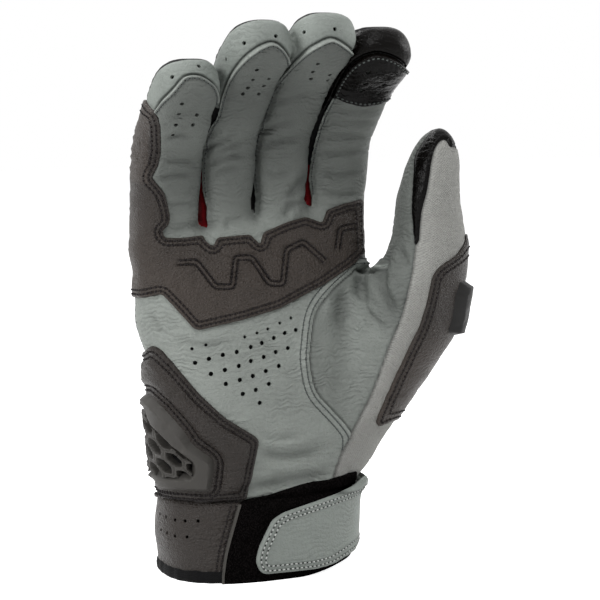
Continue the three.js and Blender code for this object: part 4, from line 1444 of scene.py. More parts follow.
def add_patch(name, sheet, material, nodes_of_zones, rows=(), low=LET_IN):
    """A piece laid on the skin, one for each zone that it crosses, and its rows of stitches."""
    pieces = []
    for zone, part in zone_parts(sheet):
        if zone.name in nodes_of_zones:
            nodes = nodes_of_zones[zone.name]
            title = name if zone is PALM_ZONE else name + "_" + zone.name
            pieces.append(add_shell(title, part, zone, material, nodes, low))
            for distance in rows:
                sew(zone, isolines(part, part.values["inside"] - distance), dark_thread)
    return pieces


# Distances of a patch's two rows of stitches from its edge, and the channel that they lie in
PATCH_ROWS = (1.4, 3.2)
CHANNEL_WIDTH = 0.55
CHANNEL_DEPTH = 0.35
# How dark painted shade makes the leather, and how far some panels get it
PAINTED_SHADE_FACTOR = 0.36
CUFF_PAINTED_SHADE = 0.7
GORE_PAINTED_SHADE = 0.3
HEEL_PAINTED_SHADE = 0.8


# Materials. Their patterns lie in millimetres of the piece at rest.
def add_node(tree, kind, inputs=None, **settings):
    """A node with its settings, and with each input linked or set."""
    node = tree.nodes.new(kind)
    for key, value in settings.items():
        setattr(node, key, value)
    for key, value in (inputs or {}).items():
        if isinstance(value, bpy.types.NodeSocket):
            tree.links.new(value, node.inputs[key])
        else:
            node.inputs[key].default_value = value
    return node


# Marks on the mesh: their share, and the shade of the material's colour there. Rims are made paler; grooves
# get painted shade.
RIM_AND_GROOVE_TONES = (("rim", 0.6, 1.9), ("groove", 0.75, 0.12))


class Nodes:
    """A short way to write a material's nodes."""

    def __init__(self, name):
        self.material = bpy.data.materials.new(name)
        self.material.use_nodes = True
        self.tree = self.material.node_tree
        self.shader = self.tree.nodes["Principled BSDF"]
        self.place = self.add("ShaderNodeAttribute", attribute_name="rest").outputs["Vector"]

    def add(self, kind, inputs=None, **settings):
        return add_node(self.tree, kind, inputs, **settings)

    def mark(self, name):
        """A value that the mesh carries at its points."""
        return self.add("ShaderNodeAttribute", attribute_name=name).outputs["Fac"]

    def math(self, operation, a, b=0.0, c=0.0):
        return self.add("ShaderNodeMath", {0: a, 1: b, 2: c}, operation=operation).outputs[0]

    def scaled(self, factors):
        """The place with each of its coordinates multiplied."""
        vector = {0: self.place, 1: factors}
        return self.add("ShaderNodeVectorMath", vector, operation="MULTIPLY").outputs[0]

    def noise(self, scale, detail=3.0, vector=None):
        inputs = {"Vector": vector or self.place, "Scale": scale, "Detail": detail}
        return self.add("ShaderNodeTexNoise", inputs).outputs["Fac"]

    def cells(self, scale, feature="F1", vector=None):
        inputs = {"Vector": vector or self.place, "Scale": scale}
        return self.add("ShaderNodeTexVoronoi", inputs, feature=feature).outputs["Distance"]

    def between(self, value, low, high, start=0.0, end=1.0):
        """A value carried from one range to another, clamped."""
        inputs = {"Value": value, "From Min": low, "From Max": high, "To Min": start, "To Max": end}
        return self.add("ShaderNodeMapRange", inputs).outputs[0]

    def mixed(self, share, a, b):
        """A blend of two colours, by the share of the second."""
        node = self.add("ShaderNodeMix", {"Factor": share}, data_type="RGBA")
        colours = [socket for socket in node.inputs if socket.type == "RGBA"]
        for socket, value in zip(colours, (a, b)):
            if isinstance(value, bpy.types.NodeSocket):
                self.tree.links.new(value, socket)
            else:
                socket.default_value = (*value, 1)
        return [socket for socket in node.outputs if socket.type == "RGBA"][0]

    def channel(self, rows):
        """One along rows of stitches at these distances inside an edge, and nothing beside them."""
        edge = self.mark("inside")
        gaps = [self.math("ABSOLUTE", self.math("SUBTRACT", edge, row)) for row in rows]
        return self.between(self.math("MINIMUM", *gaps), 0.0, CHANNEL_WIDTH, 1.0, 0.0)

    def with_rims_and_groove_shade(self, base, colour):
        """The colour with paler turned rims, and painted shade in the grooves."""
        for name, share, factor in RIM_AND_GROOVE_TONES:
            base = self.mixed(self.math("MULTIPLY", self.mark(name), share), base, shade(colour, factor))
        return base

    def bump(self, height, metres):
        """Normals of a surface that rises by this many metres where the height is one."""
        return self.add("ShaderNodeBump", {"Height": height, "Distance": metres, "Strength": 1.0}).outputs[0]

    def finish(self, colour, roughness, normal, **settings):
        """The material, with its shader's inputs set."""
        for key, value in {"Base Color": colour, "Roughness": roughness, "Normal": normal}.items():
            if isinstance(value, bpy.types.NodeSocket):
                self.tree.links.new(value, self.shader.inputs[key])
            elif value is not None:
                self.shader.inputs[key].default_value = (*value, 1) if key == "Base Color" else value
        for key, value in settings.items():
            self.shader.inputs[key.replace("_", " ")].default_value = value
        return self.material


def linear(code):
    """A colour written as a web code, as linear light."""
    parts = [int(code[k:k + 2], 16) / 255 for k in (0, 2, 4)]
    return tuple(p / 12.92 if p < 0.04045 else ((p + 0.055) / 1.055) ** 2.4 for p in parts)


def shade(colour, factor):
    """A colour made darker or brighter."""
    return tuple(c * factor for c in colour)


# Heights in leather of relief 1, in millimetres, and of its swells as a multiple of the wrinkles' depth
PEBBLE_HEIGHT = 0.05
PORE_HEIGHT = 0.16
SWELL_HEIGHT = 9
# The wrinkles' length from one to the next, and how far they wander over long and short stretches
WRINKLE_LENGTH = 2.1
LONG_DRIFT = 26.0
SHORT_DRIFT = 4.0
# How strongly the tone is mottled, how much of that is in clouds, and how dark the painted shade in low
# places and in the stitches' channels is
MOTTLE = 0.14
CLOUD_SHARE = 0.65
VALLEY, VALLEY_SHADE = 0.3, 0.55
CHANNEL, CHANNEL_SHADE = 0.22, 0.2


def leather(name, code, roughness=0.55, grain=1.0, wrinkle=0.13, specular=0.2, relief=1.0):
    """Grained hide: pebbles, wrinkles across it, long soft creases and channels along its stitches."""
    n = Nodes(name)
    colour = linear(code)
    pebbles = n.cells(0.85 * grain, "DISTANCE_TO_EDGE", n.scaled((1.0, 1.0, 1.3)))
    pores = n.noise(1.2 * grain, 3.0)
    _, _, z = n.add("ShaderNodeSeparateXYZ", {0: n.place}).outputs
    drift = n.math("MULTIPLY", n.noise(0.5, 1.0), SHORT_DRIFT)
    drift = n.math("MULTIPLY_ADD", n.noise(0.11, 2.0), LONG_DRIFT, drift)
    ripple = n.math("SINE", n.math("MULTIPLY_ADD", z, math.tau / WRINKLE_LENGTH, drift))
    patches = n.between(n.noise(0.06, 2.0), 0.42, 0.62)
    swells = n.noise(1.0, 3.0, n.scaled((0.07, 0.07, 0.2)))
    height = n.math("MULTIPLY", pores, PORE_HEIGHT * relief)
    height = n.math("MULTIPLY_ADD", n.between(pebbles, 0.0, 0.35), PEBBLE_HEIGHT * relief, height)
    depth = n.math("MULTIPLY_ADD", patches, wrinkle, wrinkle * 0.25)
    height = n.math("MULTIPLY_ADD", ripple, depth, height)
    height = n.math("MULTIPLY_ADD", swells, wrinkle * SWELL_HEIGHT, height)
    channel = n.channel(PATCH_ROWS)
    height = n.math("MULTIPLY_ADD", channel, -CHANNEL_DEPTH, height)
    clouds = n.between(n.noise(0.035, 4.0), 0.3, 0.7)
    specks = n.between(n.noise(0.7, 3.0), 0.35, 0.65)
    tone = n.math("MULTIPLY_ADD", specks, 1 - CLOUD_SHARE, n.math("MULTIPLY", clouds, CLOUD_SHARE))
    base = n.mixed(tone, shade(colour, 1 - MOTTLE), shade(colour, 1 + MOTTLE))
    # Painted shade in the wrinkles' low places, and in the channels along the stitches
    low = n.math("MULTIPLY", n.between(ripple, -1.0, -0.2, 1.0, 0.0), patches)
    base = n.mixed(n.math("MULTIPLY", low, VALLEY), base, shade(colour, VALLEY_SHADE))
    base = n.mixed(n.math("MULTIPLY", channel, CHANNEL), base, shade(colour, CHANNEL_SHADE))
    # Painted shade on the fingers' pads, the thumb, the web, the gore, the cuff and the heel
    base = n.mixed(n.mark("handled"), base, shade(colour, PAINTED_SHADE_FACTOR))
    base = n.with_rims_and_groove_shade(base, colour)
    rough = n.between(tone, 0, 1, roughness - 0.06, roughness + 0.06)
    return n.finish(base, rough, n.bump(height, 0.001), Specular_IOR_Level=specular)


# Cloth. Radii between which a perforation's edge lies, as shares of the holes' pitch.
HOLE_EDGE = (0.17, 0.22)
# The perforations are painted nearly black: painted shade in the holes
HOLE_SHADE = 0.08
HOLE_DEPTH = 1.5
# The perforations' columns go on round the sides of the hand's back
BACK_Y = 20.0
ROUND_THE_SIDE = -0.016
# How far the threads run out of line
WOBBLE = 1.1


def woven(name, code, threads, depth=0.12, sheen=0.25, contrast=0.22, holes=0.0):
    """A weave of crossing threads with uneven yarns, and perforated at a pitch where one is given."""
    n = Nodes(name)
    colour = linear(code)
    x, y, z = n.add("ShaderNodeSeparateXYZ", {0: n.place}).outputs
    across = n.math("ADD", x, n.math("MULTIPLY", y, 0.6))
    wobble = n.math("MULTIPLY", n.noise(0.5), WOBBLE)
    turn = math.tau * threads
    warp = n.math("SINE", n.math("MULTIPLY", n.math("ADD", across, wobble), turn))
    weft = n.math("SINE", n.math("MULTIPLY", n.math("ADD", z, wobble), turn))
    weave = n.between(n.math("MULTIPLY", warp, weft), -0.8, 0.8)
    lying = n.noise(1.4, 2.0, n.scaled((0.35, 0.35, 2.2)))
    upright = n.noise(1.4, 2.0, n.scaled((2.2, 2.2, 0.35)))
    yarn = n.math("MULTIPLY_ADD", lying, 0.5, n.math("MULTIPLY", upright, 0.5))
    tone = n.math("MULTIPLY_ADD", weave, 0.5, n.math("MULTIPLY", n.between(yarn, 0.35, 0.65), 0.5))
    base = n.mixed(tone, shade(colour, 1 - contrast), shade(colour, 1 + contrast))
    height = tone
    if holes:
        turned = n.math("MULTIPLY", n.math("MULTIPLY", n.math("SUBTRACT", y, BACK_Y), x), ROUND_THE_SIDE)
        row = n.math("FRACT", n.math("DIVIDE", z, holes))
        side = n.math("FRACT", n.math("DIVIDE", n.math("ADD", x, turned), holes))
        far = [n.math("POWER", n.math("SUBTRACT", share, 0.5), 2.0) for share in (row, side)]
        round_hole = n.between(n.math("SQRT", n.math("ADD", *far)), *HOLE_EDGE)
        # Painted shade in the perforations
        base = n.mixed(round_hole, shade(colour, HOLE_SHADE), base)
        height = n.math("MULTIPLY_ADD", round_hole, HOLE_DEPTH, height)
    normal = n.bump(height, depth / 1000)
    base = n.with_rims_and_groove_shade(base, colour)
    return n.finish(base, 0.85, normal, Sheen_Weight=sheen, Sheen_Roughness=0.5, Specular_IOR_Level=0.08)


def moulded(name, code):
    """Matt rubbery plastic with a spark-eroded texture and paler sharp edges."""
    n = Nodes(name)
    colour = linear(code)
    fine = n.noise(5.0, 2.0)
    clouds = n.between(n.noise(0.08, 3.0), 0.3, 0.7)
    base = n.mixed(clouds, shade(colour, 0.88), shade(colour, 1.1))
    edges = n.add("ShaderNodeNewGeometry").outputs["Pointiness"]
    base = n.mixed(n.between(edges, 0.52, 0.62, 0.0, 0.5), base, shade(colour, 1.8))
    return n.finish(base, n.between(clouds, 0, 1, 0.5, 0.6), n.bump(fine, 0.00003), Specular_IOR_Level=0.25)


def fuzzy(name, code):
    """Loops of a hook and loop fastener."""
    n = Nodes(name)
    colour = linear(code)
    tufts = n.cells(1.6)
    hair = n.noise(6.0, 3.0, n.scaled((1.0, 1.0, 0.4)))
    height = n.math("MULTIPLY_ADD", hair, 0.7, n.between(tufts, 0.7, 0.0))
    base = n.mixed(n.between(height, 0.4, 1.2), shade(colour, 0.4), shade(colour, 2.0))
    normal = n.bump(height, 0.0005)
    return n.finish(base, 0.95, normal, Specular_IOR_Level=0.0)


def thread(name, code):
    """Twisted sewing thread."""
    n = Nodes(name)
    colour = linear(code)
    twist = n.noise(4.0, 1.0)
    base = n.mixed(n.between(twist, 0.35, 0.65), shade(colour, 0.7), shade(colour, 1.25))
    return n.finish(base, 0.6, n.bump(twist, 0.0001), Specular_IOR_Level=0.15)


pale_leather = leather("pale_leather_look", "919691", relief=1.8)
smooth_leather = leather("smooth_leather_look", "8b918c", wrinkle=0.04, relief=1.5)
dark_leather = leather(
    "dark_leather_look", "37302b", 0.43, grain=0.9, wrinkle=0.08, specular=0.26, relief=3.8
)
black_leather = leather("black_leather_look", "080605", 0.24, wrinkle=0.05, specular=0.08)
plastic = moulded("moulded_look", "3e3c39")
dark_plastic = moulded("dark_moulded_look", "0d0c0b")
pale_cloth = woven("pale_cloth_look", "9f9f9b", threads=0.95, depth=0.25, sheen=0.1, contrast=0.3)
mesh_cloth = woven("perforated_cloth_look", "a6a9a8", threads=1.0, holes=2.6)
dark_cloth = woven("dark_cloth_look", "1c1c1d", threads=1.1, sheen=0.05, contrast=0.35)
red_cloth = woven("red_cloth_look", "7c1016", threads=1.1, sheen=0.05, contrast=0.3)
loops = fuzzy("hook_and_loop_look", "131111")
tape = woven("binding_look", "121213", threads=1.0, depth=0.2, sheen=0.05, contrast=0.4)
lining = woven("lining_look", "3a3b3d", threads=0.9, contrast=0.3)
dark_thread = thread("dark_thread_look", "1d191a")
grey_thread = thread("grey_thread_look", "565b59")
light_thread = thread("light_thread_look", "bfc2bf")
# Black spindles that stand for the needle holes' painted shade
needle_hole_shade = thread("needle_hole_look", "070606")


# The skin and its holes
skin = shaped(prepared_skin())
front_tree = BVHTree.FromPolygons(skin.points.tolist(), skin.triangles.tolist())
CAMERA_AT = Vector(CAMERA_PLACE)


def on_skin(pixel):
    """Where the line of sight through a pixel meets the skin, or None."""
    hit, _, _, _ = front_tree.ray_cast(CAMERA_AT, Vector(ray_of(pixel)))
    return None if hit is None else np.array(hit)


# Radius of each kind of perforation, and where its holes are
HOLES = ((0.7, SMALL_HOLES), (0.95, WIDE_HOLES), (0.82, FINGER_HOLES), (0.7, CUFF_HOLES))
HOLE_REACH = 4
HOLE_SNAP = 0.15


def hole_field(points):
    """Positive outside the perforations."""
    field = np.full(len(points), 5.0)
    for radius, pixels in HOLES:
        for pixel in pixels:
            middle = on_skin(pixel)
            if middle is None:
                continue
            near = np.nonzero(np.abs(points - middle).max(1) < HOLE_REACH)[0]
            gap = np.linalg.norm(points[near] - middle, axis=1) - radius
            field[near] = np.minimum(field[near], gap)
    return field


# Panels of the skin
THUMB_CAP_LOW = 174.0
# How far the thumb's cloth runs out beside the thumb, and how far behind the thumb's middle it starts
CLOTH_BESIDE = 2
CLOTH_BEHIND = 2
PAD_ROW = 1.3
# A pad reaches round its finger's side as far as this, measured to the back from the middle
PAD_WRAP = 7
PAD_FRONT = 1.5
BACK_EDGE = 5.0
CAP_SHARE = 0.8
RED_HEIGHT = 168.0
ROOT_FROM = 2
FEWEST_TRIANGLES = 30
CUFF_WRAP = 9.0
CUFF_ROWS = (1.5, 3.4)
GORE_ROWS = (1.9, 4.0)
BACK_NODES = ["back_panel", "knuckle_band_back", "finger_row_back"]
PALM_NODES = ["palm_panel", "knuckle_band_palm", "finger_row_palm"]
FOURCHETTES = ["pinky_ring_fourchette", "ring_middle_fourchette", "middle_index_fourchette"]


def thumb_depth(seen):
    """How far each point is behind the thumb's middle."""
    _, _, middle, _ = table_at(THUMB_SECTIONS, seen.base[:, 2])
    return seen.base[:, 1] - middle


def cloth_field(seen):
    """Positive on the cloth panel and stall, which cover the thumb's back and outer side."""
    left, right, _, _ = table_at(THUMB_SECTIONS, seen.base[:, 2])
    outward = seen.base[:, 0] - (left + right) / 2
    on_thumb = seen.parts[0] - seen.parts[1] + CLOTH_BESIDE
    behind = np.minimum(on_thumb, np.maximum(outward, thumb_depth(seen) - CLOTH_BEHIND))
    return seen.from_front(seen.inside("cloth"), behind)


def strip_field(seen):
    """Positive on the thumb's black strip in front and on its tip."""
    return seen.from_front(seen.inside("strip"), seen.base[:, 2] - THUMB_CAP_LOW)


def on_pad_side(finger, seen, outline):
    """How far each point is inside an outline on the palm side of a finger."""
    _, u, v = finger.at(seen.base)
    return np.minimum(seen.inside(outline), PAD_WRAP * smooth_step(-u, -2, 2) - PAD_FRONT - v)


def finger_panels(finger, sheet):
    """A finger's sheet cut into its pad, back, cap and walls, as pairs of a name and a sheet."""
    sheet.values["pad"] = on_pad_side(finger, Dressed(sheet), finger.name + "_pad")
    pad, sheet = parted(sheet, sheet.values["pad"])
    _, _, v = finger.at(sheet.values["base"])
    back, sheet = parted(sheet, v - BACK_EDGE)
    along, _, _ = finger.at(sheet.values["base"])
    cap, wall = parted(sheet, along - finger.length + CAP_SHARE * finger.upper)
    return [("pad", pad), ("back", back), ("cap", cap), ("wall", wall)]


def red_side(finger, sheet):
    """Positive on the low walls of the first and third gaps between the fingers."""
    base = sheet.values["base"]
    _, u, _ = finger.at(base)
    right = finger.name in ("pinky", "middle")
    return np.minimum(u if right else -u, RED_HEIGHT - base[:, 2])


def add_walls(finger, zone, sheet, titles, nodes):
    """A finger's dark and red side walls, each where there is enough of it to show."""
    red, dark = parted(sheet, red_side(finger, sheet))
    for title in titles:
        piece, material = (red, red_cloth) if "red" in title else (dark, dark_cloth)
        if len(piece.triangles) > FEWEST_TRIANGLES:
            add_shell(f"{finger.name}_{title}", piece, zone, material, nodes)


def add_finger(finger, zone, sheet):
    """All panels of a finger, and the row of stitches round its pad."""
    name = finger.name
    cap_finish = black_leather if name == "index" else smooth_leather
    finishes = {"pad": pale_leather, "back": dark_cloth, "cap": cap_finish}
    for part, panel in finger_panels(finger, sheet):
        if part == "wall":
            add_walls(finger, zone, panel, ("wall", "red_wall"), [name + "_bend"])
        elif len(panel.triangles):
            nodes = [f"{name}_{part}", name + "_bend"]
            add_shell(f"{name}_{part}_panel", panel, zone, finishes[part], nodes)
            if part == "pad":
                row = isolines(panel, panel.values["pad"] - PAD_ROW)
                sew(zone, row, grey_thread, PAD_STITCH_RADIUS)


def add_thumb(zone, sheet):
    """The thumb's leather strip and tip, its cloth stall and its palm side."""
    strip, sheet = parted(sheet, strip_field(Dressed(sheet)))
    cloth, pad = parted(sheet, cloth_field(Dressed(sheet)))
    add_shell("thumb_strip", strip, zone, black_leather, ["thumb_cap"])
    add_shell("thumb_cloth", cloth, zone, pale_cloth, ["thumb_cloth_stall", "thumb_bend"])
    add_shell("thumb_palm_side", pad, zone, pale_leather, ["thumb_pad", "thumb_bend"])


def add_cuff(zone, sheet):
    """The cuff's leather front and stretch back. Returns the front."""
    x, y, _ = sheet.values["base"].T
    back, front = parted(sheet, y - SIDE_SEAM_Y - CUFF_WRAP * smooth_step(-x, 0, 20))
    # The whole cuff front gets painted shade
    front.values["handled"][:] = CUFF_PAINTED_SHADE
    add_shell("cuff_front", front, zone, dark_leather, ["cuff_palm_panel"])
    add_shell("cuff_back", back, zone, dark_cloth, ["cuff_back_panel"])
    return front


def add_roots(zone, sheet):
    """The walls between the fingers' roots. Returns what is left of the sheet."""
    for finger in fingers:
        seen = Dressed(sheet)
        along, _, _ = finger.at(seen.base)
        pad = on_pad_side(finger, seen, finger.name + "_pad")
        wall, sheet = parted(sheet, np.minimum.reduce([seen.own(finger.digit), -pad, along - ROOT_FROM]))
        add_walls(finger, zone, wall, ("root_red", "root_wall"), FOURCHETTES)
    return sheet


def sew_outside(zone, sheet, outline, distances, material, radius=STITCH_RADIUS):
    """Rows of stitches at distances outside an outline."""
    outside = -Dressed(sheet).inside(outline)
    for distance in distances:
        sew(zone, isolines(sheet, outside - distance), material, radius)


def add_hand(zone, sheet):
    """The panels of the cuff and the hand up to the fingers' roots."""
    cuff, sheet = parted(sheet, CUFF_HEIGHT - sheet.values["base"][:, 2])
    cuff_front = add_cuff(zone, cuff)
    cloth, sheet = parted(sheet, cloth_field(Dressed(sheet)))
    add_shell("thumb_base_cloth", cloth, zone, pale_cloth, ["thumb_cloth_panel"])
    back, sheet = parted(sheet, sheet.values["base"][:, 1] - SIDE_SEAM_Y)
    add_shell("hand_back", back, zone, mesh_cloth, BACK_NODES)
    gore, sheet = parted(sheet, Dressed(sheet).inside("gore"))
    # The gore gets at least this much painted shade
    gore.values["handled"] = np.maximum(gore.values["handled"], GORE_PAINTED_SHADE)
    add_shell("thumb_gore", gore, zone, pale_leather, ["thumb_gore_panel"])
    palm = add_roots(zone, sheet)
    add_shell("palm_leather", palm, zone, pale_leather, PALM_NODES)
    sew_outside(zone, palm, "gore", GORE_ROWS, grey_thread, PAD_STITCH_RADIUS)
    sew_outside(zone, cuff_front, "loop", CUFF_ROWS, dark_thread)


def add_panels():
    """All panels of the skin, with the perforations cut through them."""
    open_skin, field = scored(skin, hole_field(skin.points), snap=HOLE_SNAP)
    open_skin = open_skin.trimmed(field[open_skin.triangles].sum(1) > 0)
    for zone, part in zone_parts(open_skin):
        if zone is PALM_ZONE:
            add_hand(zone, part)
        elif zone.name == "thumb":
            add_thumb(zone, part)
        else:
            add_finger(finger_of[zone.name], zone, part)


add_panels()


# Reinforcements laid on the skin
PALM_SIDE_Y = 10
# How thick patches of leather are, and the leather's rise over the heel's padding
PATCH = 1.3
HEEL_THICKNESS = 1.7
HEEL_SOFT = 1.4
HEEL_CROWN = 1.9
CROWN_FROM_EDGE = (2.8, 5.4)
CROWN_FROM_SLIDER = (3.0, 5.4)
# The zigzag's rows lie in a channel, beyond this distance from the overlay's edge
ZIGZAG_FROM = 4.0
ZIGZAG_SINK = 0.3
ZIGZAG_SINK_WIDTH = 0.5
ZIGZAG_CHANNEL = 1


def finely(sheet, field):
    """The part of a sheet where the field is positive, with all its triangles split."""
    part, _ = parted(sheet, field)
    return refined(part, np.ones(len(part.points), bool))


def overlay_field(seen):
    """Positive on the overlay, which runs up the little finger's outer side."""
    pinky = finger_of["pinky"]
    along, _, v = pinky.at(seen.base)
    on_finger = (seen.digit == pinky.digit) & (along > 0)
    wrap = np.where(on_finger, PALM_SIDE_Y - v, PALM_SIDE_Y + 1 - seen.base[:, 1])
    return np.minimum(seen.inside("overlay"), wrap)


def line_on_skin(pixels, height):
    """A line through pixels, laid at a height over the skin, as its points and normals."""
    points, normals = [], []
    for pixel in pixels:
        hit, _, index, _ = front_tree.ray_cast(CAMERA_AT, Vector(ray_of(pixel)))
        if hit is not None:
            out = skin.values["normal"][skin.triangles[index]].mean(0)
            points.append(np.array(hit) + out * height)
            normals.append(out)
    return np.array(points), np.array(normals)


def add_overlay():
    """The dark leather across the palm, with its zigzag."""
    sheet = patch_sheet(skin, overlay_field(Dressed(skin)), PATCH)
    pixels = Dressed(sheet).pixels
    gap = np.full(len(sheet.points), NEAR)
    for line in zigzag_rows():
        far, _ = line_distance(line, pixels)
        gap = np.minimum(gap, far * MM_PER_PIXEL)
    inside = sheet.values["inside"]
    gap[inside < ZIGZAG_FROM] = NEAR
    sheet.values["outer"] -= ZIGZAG_SINK * bell(gap, ZIGZAG_SINK_WIDTH)
    # Along the zigzag the channel's painted shade follows its rows
    sheet.values["inside"] = np.where(gap < ZIGZAG_CHANNEL, PATCH_ROWS[0] + gap, inside)
    palm_nodes = ["palm_patch", "palm_patch_fold", "palm_patch_top", "pinky_root_patch"]
    nodes = {"palm": palm_nodes, "pinky": ["pinky_side_patch"]}
    add_patch("palm_overlay", sheet, dark_leather, nodes)
    sew_rows(sheet, Dressed(sheet).inside("overlay"), PATCH_ROWS, dark_thread, nodes)
    for line in zigzag_rows():
        sew(PALM_ZONE, [line_on_skin(line, PATCH)], dark_thread)


def add_heel():
    """The crowned reinforcement round the slider."""
    seen = Dressed(skin)
    side = PALM_SIDE_Y - seen.base[:, 1]
    field = np.minimum.reduce([seen.inside("heel"), side, 0.5 - seen.inside("window")])
    sheet = patch_sheet(skin, field, HEEL_THICKNESS, soft=HEEL_SOFT)
    # The whole heel gets painted shade
    sheet.values["handled"][:] = HEEL_PAINTED_SHADE
    seam = Dressed(sheet)
    heel, off_slider = seam.inside("heel"), -seam.inside("slider")
    crown = smooth_step(heel, *CROWN_FROM_EDGE) * smooth_step(off_slider, *CROWN_FROM_SLIDER)
    sheet.values["inside"] = np.minimum(heel, off_slider)
    sheet.values["outer"] += HEEL_CROWN * crown
    shade_outer(sheet)
    for piece in add_patch("heel_reinforcement", sheet, dark_leather, {"palm": ["heel_patch"]}):
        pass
    for edge in (heel, off_slider):
        sew_rows(sheet, edge, PATCH_ROWS, dark_thread)


# Palm slider and the honeycomb in its window. The cells are set out in the photograph's pixels.
SLIDER_HEIGHT = 4.6
SLIDER_SOFT = 2.2
SLIDER_FOOT = 0.9
COMB_Z = 57.0
COMB_ANCHOR = (179.0, 457.0)
# From one cell to the next, in two directions
COMB_A = (9.0, -7.7)
COMB_B = (7.0, 16.7)
# Millimetres round the hand from the anchor, and the pixels that they show as
COMB_TURN = [(-20, -44), (0, 0), (4, 7.5), (8, 13.5), (12, 18.5), (30, 38)]
COMB_WALL = 0.95
COMB_BELOW = 0.6
COMB_GROOVE = 0.25
COMB_GROOVE_DEPTH = 0.6
FLOOR_HEIGHT = 0.3


def unrolled(base):
    """Lengths round the hand from its middle line, for points on the little finger's side."""
    left, right, depth, middle = (float(v[0]) for v in table_at(PALM_SECTIONS, np.array([COMB_Z])))
    turn = np.linspace(0, math.pi, 200)
    share = 2 / PALM_POWER
    x = -(right - left) / 2 * np.sin(turn) ** share
    y = -depth / 2 * np.sign(np.cos(turn)) * np.abs(np.cos(turn)) ** share
    length = np.concatenate([[0], np.cumsum(np.hypot(np.diff(x), np.diff(y)))])
    angle = np.arctan2(-x, -y)
    here = np.arctan2((left + right) / 2 - base[:, 0], middle - base[:, 1])
    return np.interp(here, angle, length)


def comb_field(base):
    """How far each point is inside its cell of a honeycomb, in millimetres."""
    anchor = on_skin(COMB_ANCHOR)[None]
    across = np.interp(unrolled(base) - unrolled(anchor)[0], *np.array(COMB_TURN).T)
    place = np.stack([-across, (anchor[0, 2] - base[:, 2]) / MM_PER_PIXEL], 1)
    steps = np.array([COMB_A, COMB_B])
    share = place @ np.linalg.inv(steps)
    even = np.array([[1, 0], [-0.5, math.sqrt(0.75)]])
    size = MM_PER_PIXEL * math.sqrt(abs(np.linalg.det(steps)) / math.sqrt(0.75))
    gaps = []
    for i in (-1, 0, 1):
        for j in (-1, 0, 1):
            cell = np.round(share) + (i, j)
            gaps.append(np.linalg.norm((share - cell) @ even, axis=1) * size)
    best, second = np.sort(gaps, 0)[:2]
    return (second - best) / 2


def add_slider():
    """The moulded slider, the floor of its window and the honeycomb on it."""
    seen = Dressed(skin)
    side = PALM_SIDE_Y - seen.base[:, 1]
    field = np.minimum.reduce([seen.inside("slider"), side - 1, 0.3 - seen.inside("window")])
    sheet = patch_sheet(skin, field, SLIDER_HEIGHT, soft=SLIDER_SOFT, rise=bevelled)
    add_patch("slider_plate", sheet, plastic, {"palm": ["palm_slider"]}, low=SLIDER_FOOT)
    field = np.minimum(seen.inside("window") + 0.6, side)
    floor = patch_sheet(skin, field, FLOOR_HEIGHT, soft=0.3)
    add_patch("slider_floor", floor, tape, {"palm": ["slider_window"]})
    window = finely(skin, field)
    window.values["cell"] = comb_field(window.values["base"])
    walls = COMB_WALL - window.values["cell"]
    comb = patch_sheet(window, walls, SLIDER_HEIGHT - COMB_BELOW, soft=0.3, rise=bevelled)
    comb.values["outer"] -= COMB_GROOVE_DEPTH * bell(comb.values["cell"], COMB_GROOVE)
    shade_outer(comb)
    add_patch("slider_comb", comb, plastic, {"palm": ["slider_window"]}, low=FLOOR_HEIGHT)


# Thumb patch with its moulded plate, which has a rim and slots
THUMB_PATCH_BACK = 8
PLATE_BACK = 6
PLATE_HEIGHT = 4.6
PLATE_SOFT = 1.8
PLATE_FOOT = 0.8
PLATE_RIM = 0.5
RIM_PLACE, RIM_WIDTH = 2.4, 0.7
SLOT_GAP = 7.0
SLOT_WIDTH = 1.0
SLOT_DEPTH = 1.8
SLOT_ENDS = (3.0, 4.0)


def add_thumb_patch():
    """The dark leather from the web up the thumb."""
    seen = Dressed(skin)
    field = np.minimum(seen.inside("thumb_patch"), THUMB_PATCH_BACK - thumb_depth(seen))
    sheet = patch_sheet(skin, field, PATCH)
    nodes = {"palm": ["thumb_patch"], "thumb": ["thumb_patch"]}
    add_patch("thumb_reinforcement", sheet, dark_leather, nodes)
    sew_rows(sheet, Dressed(sheet).inside("thumb_patch"), PATCH_ROWS, dark_thread, nodes)


def plate_field(seen):
    """Positive on the plate at the thumb's outer side."""
    return np.minimum(seen.inside("armour"), PLATE_BACK - thumb_depth(seen))


def add_plate():
    """The moulded plate on the thumb patch."""
    plate = finely(skin, plate_field(Dressed(skin)) + 1)
    sheet = patch_sheet(plate, plate_field(Dressed(plate)), PLATE_HEIGHT, soft=PLATE_SOFT, rise=bevelled)
    inside = sheet.values["inside"]
    slots = np.abs((sheet.values["base"][:, 2] + SLOT_GAP / 2) % SLOT_GAP - SLOT_GAP / 2)
    sheet.values["outer"] += PLATE_RIM * bell(inside - RIM_PLACE, RIM_WIDTH)
    sheet.values["outer"] -= SLOT_DEPTH * bell(slots, SLOT_WIDTH) * smooth_step(inside, *SLOT_ENDS)
    shade_outer(sheet)
    add_patch("thumb_plate", sheet, dark_plastic, {"palm": ["thumb_armour"]}, low=PLATE_FOOT)


# Touch patch on the index fingertip, and the loop patch under the strap with its edge
TOUCH_THICKNESS = 0.8
TOUCH_ROWS = (1.2,)
LOOP_END_Y = -9.0
LOOP_END_SLANT = 0.8
LOOP_SLANT_FROM = 28
LOOP_HEIGHT = 1.5
LOOP_FOOT = 0.2
LOOP_EDGE_HEIGHT = 1.7
LOOP_EDGE_WIDTH = 0.9
LOOP_EDGE_TOP = CUFF_HEIGHT - 1.5


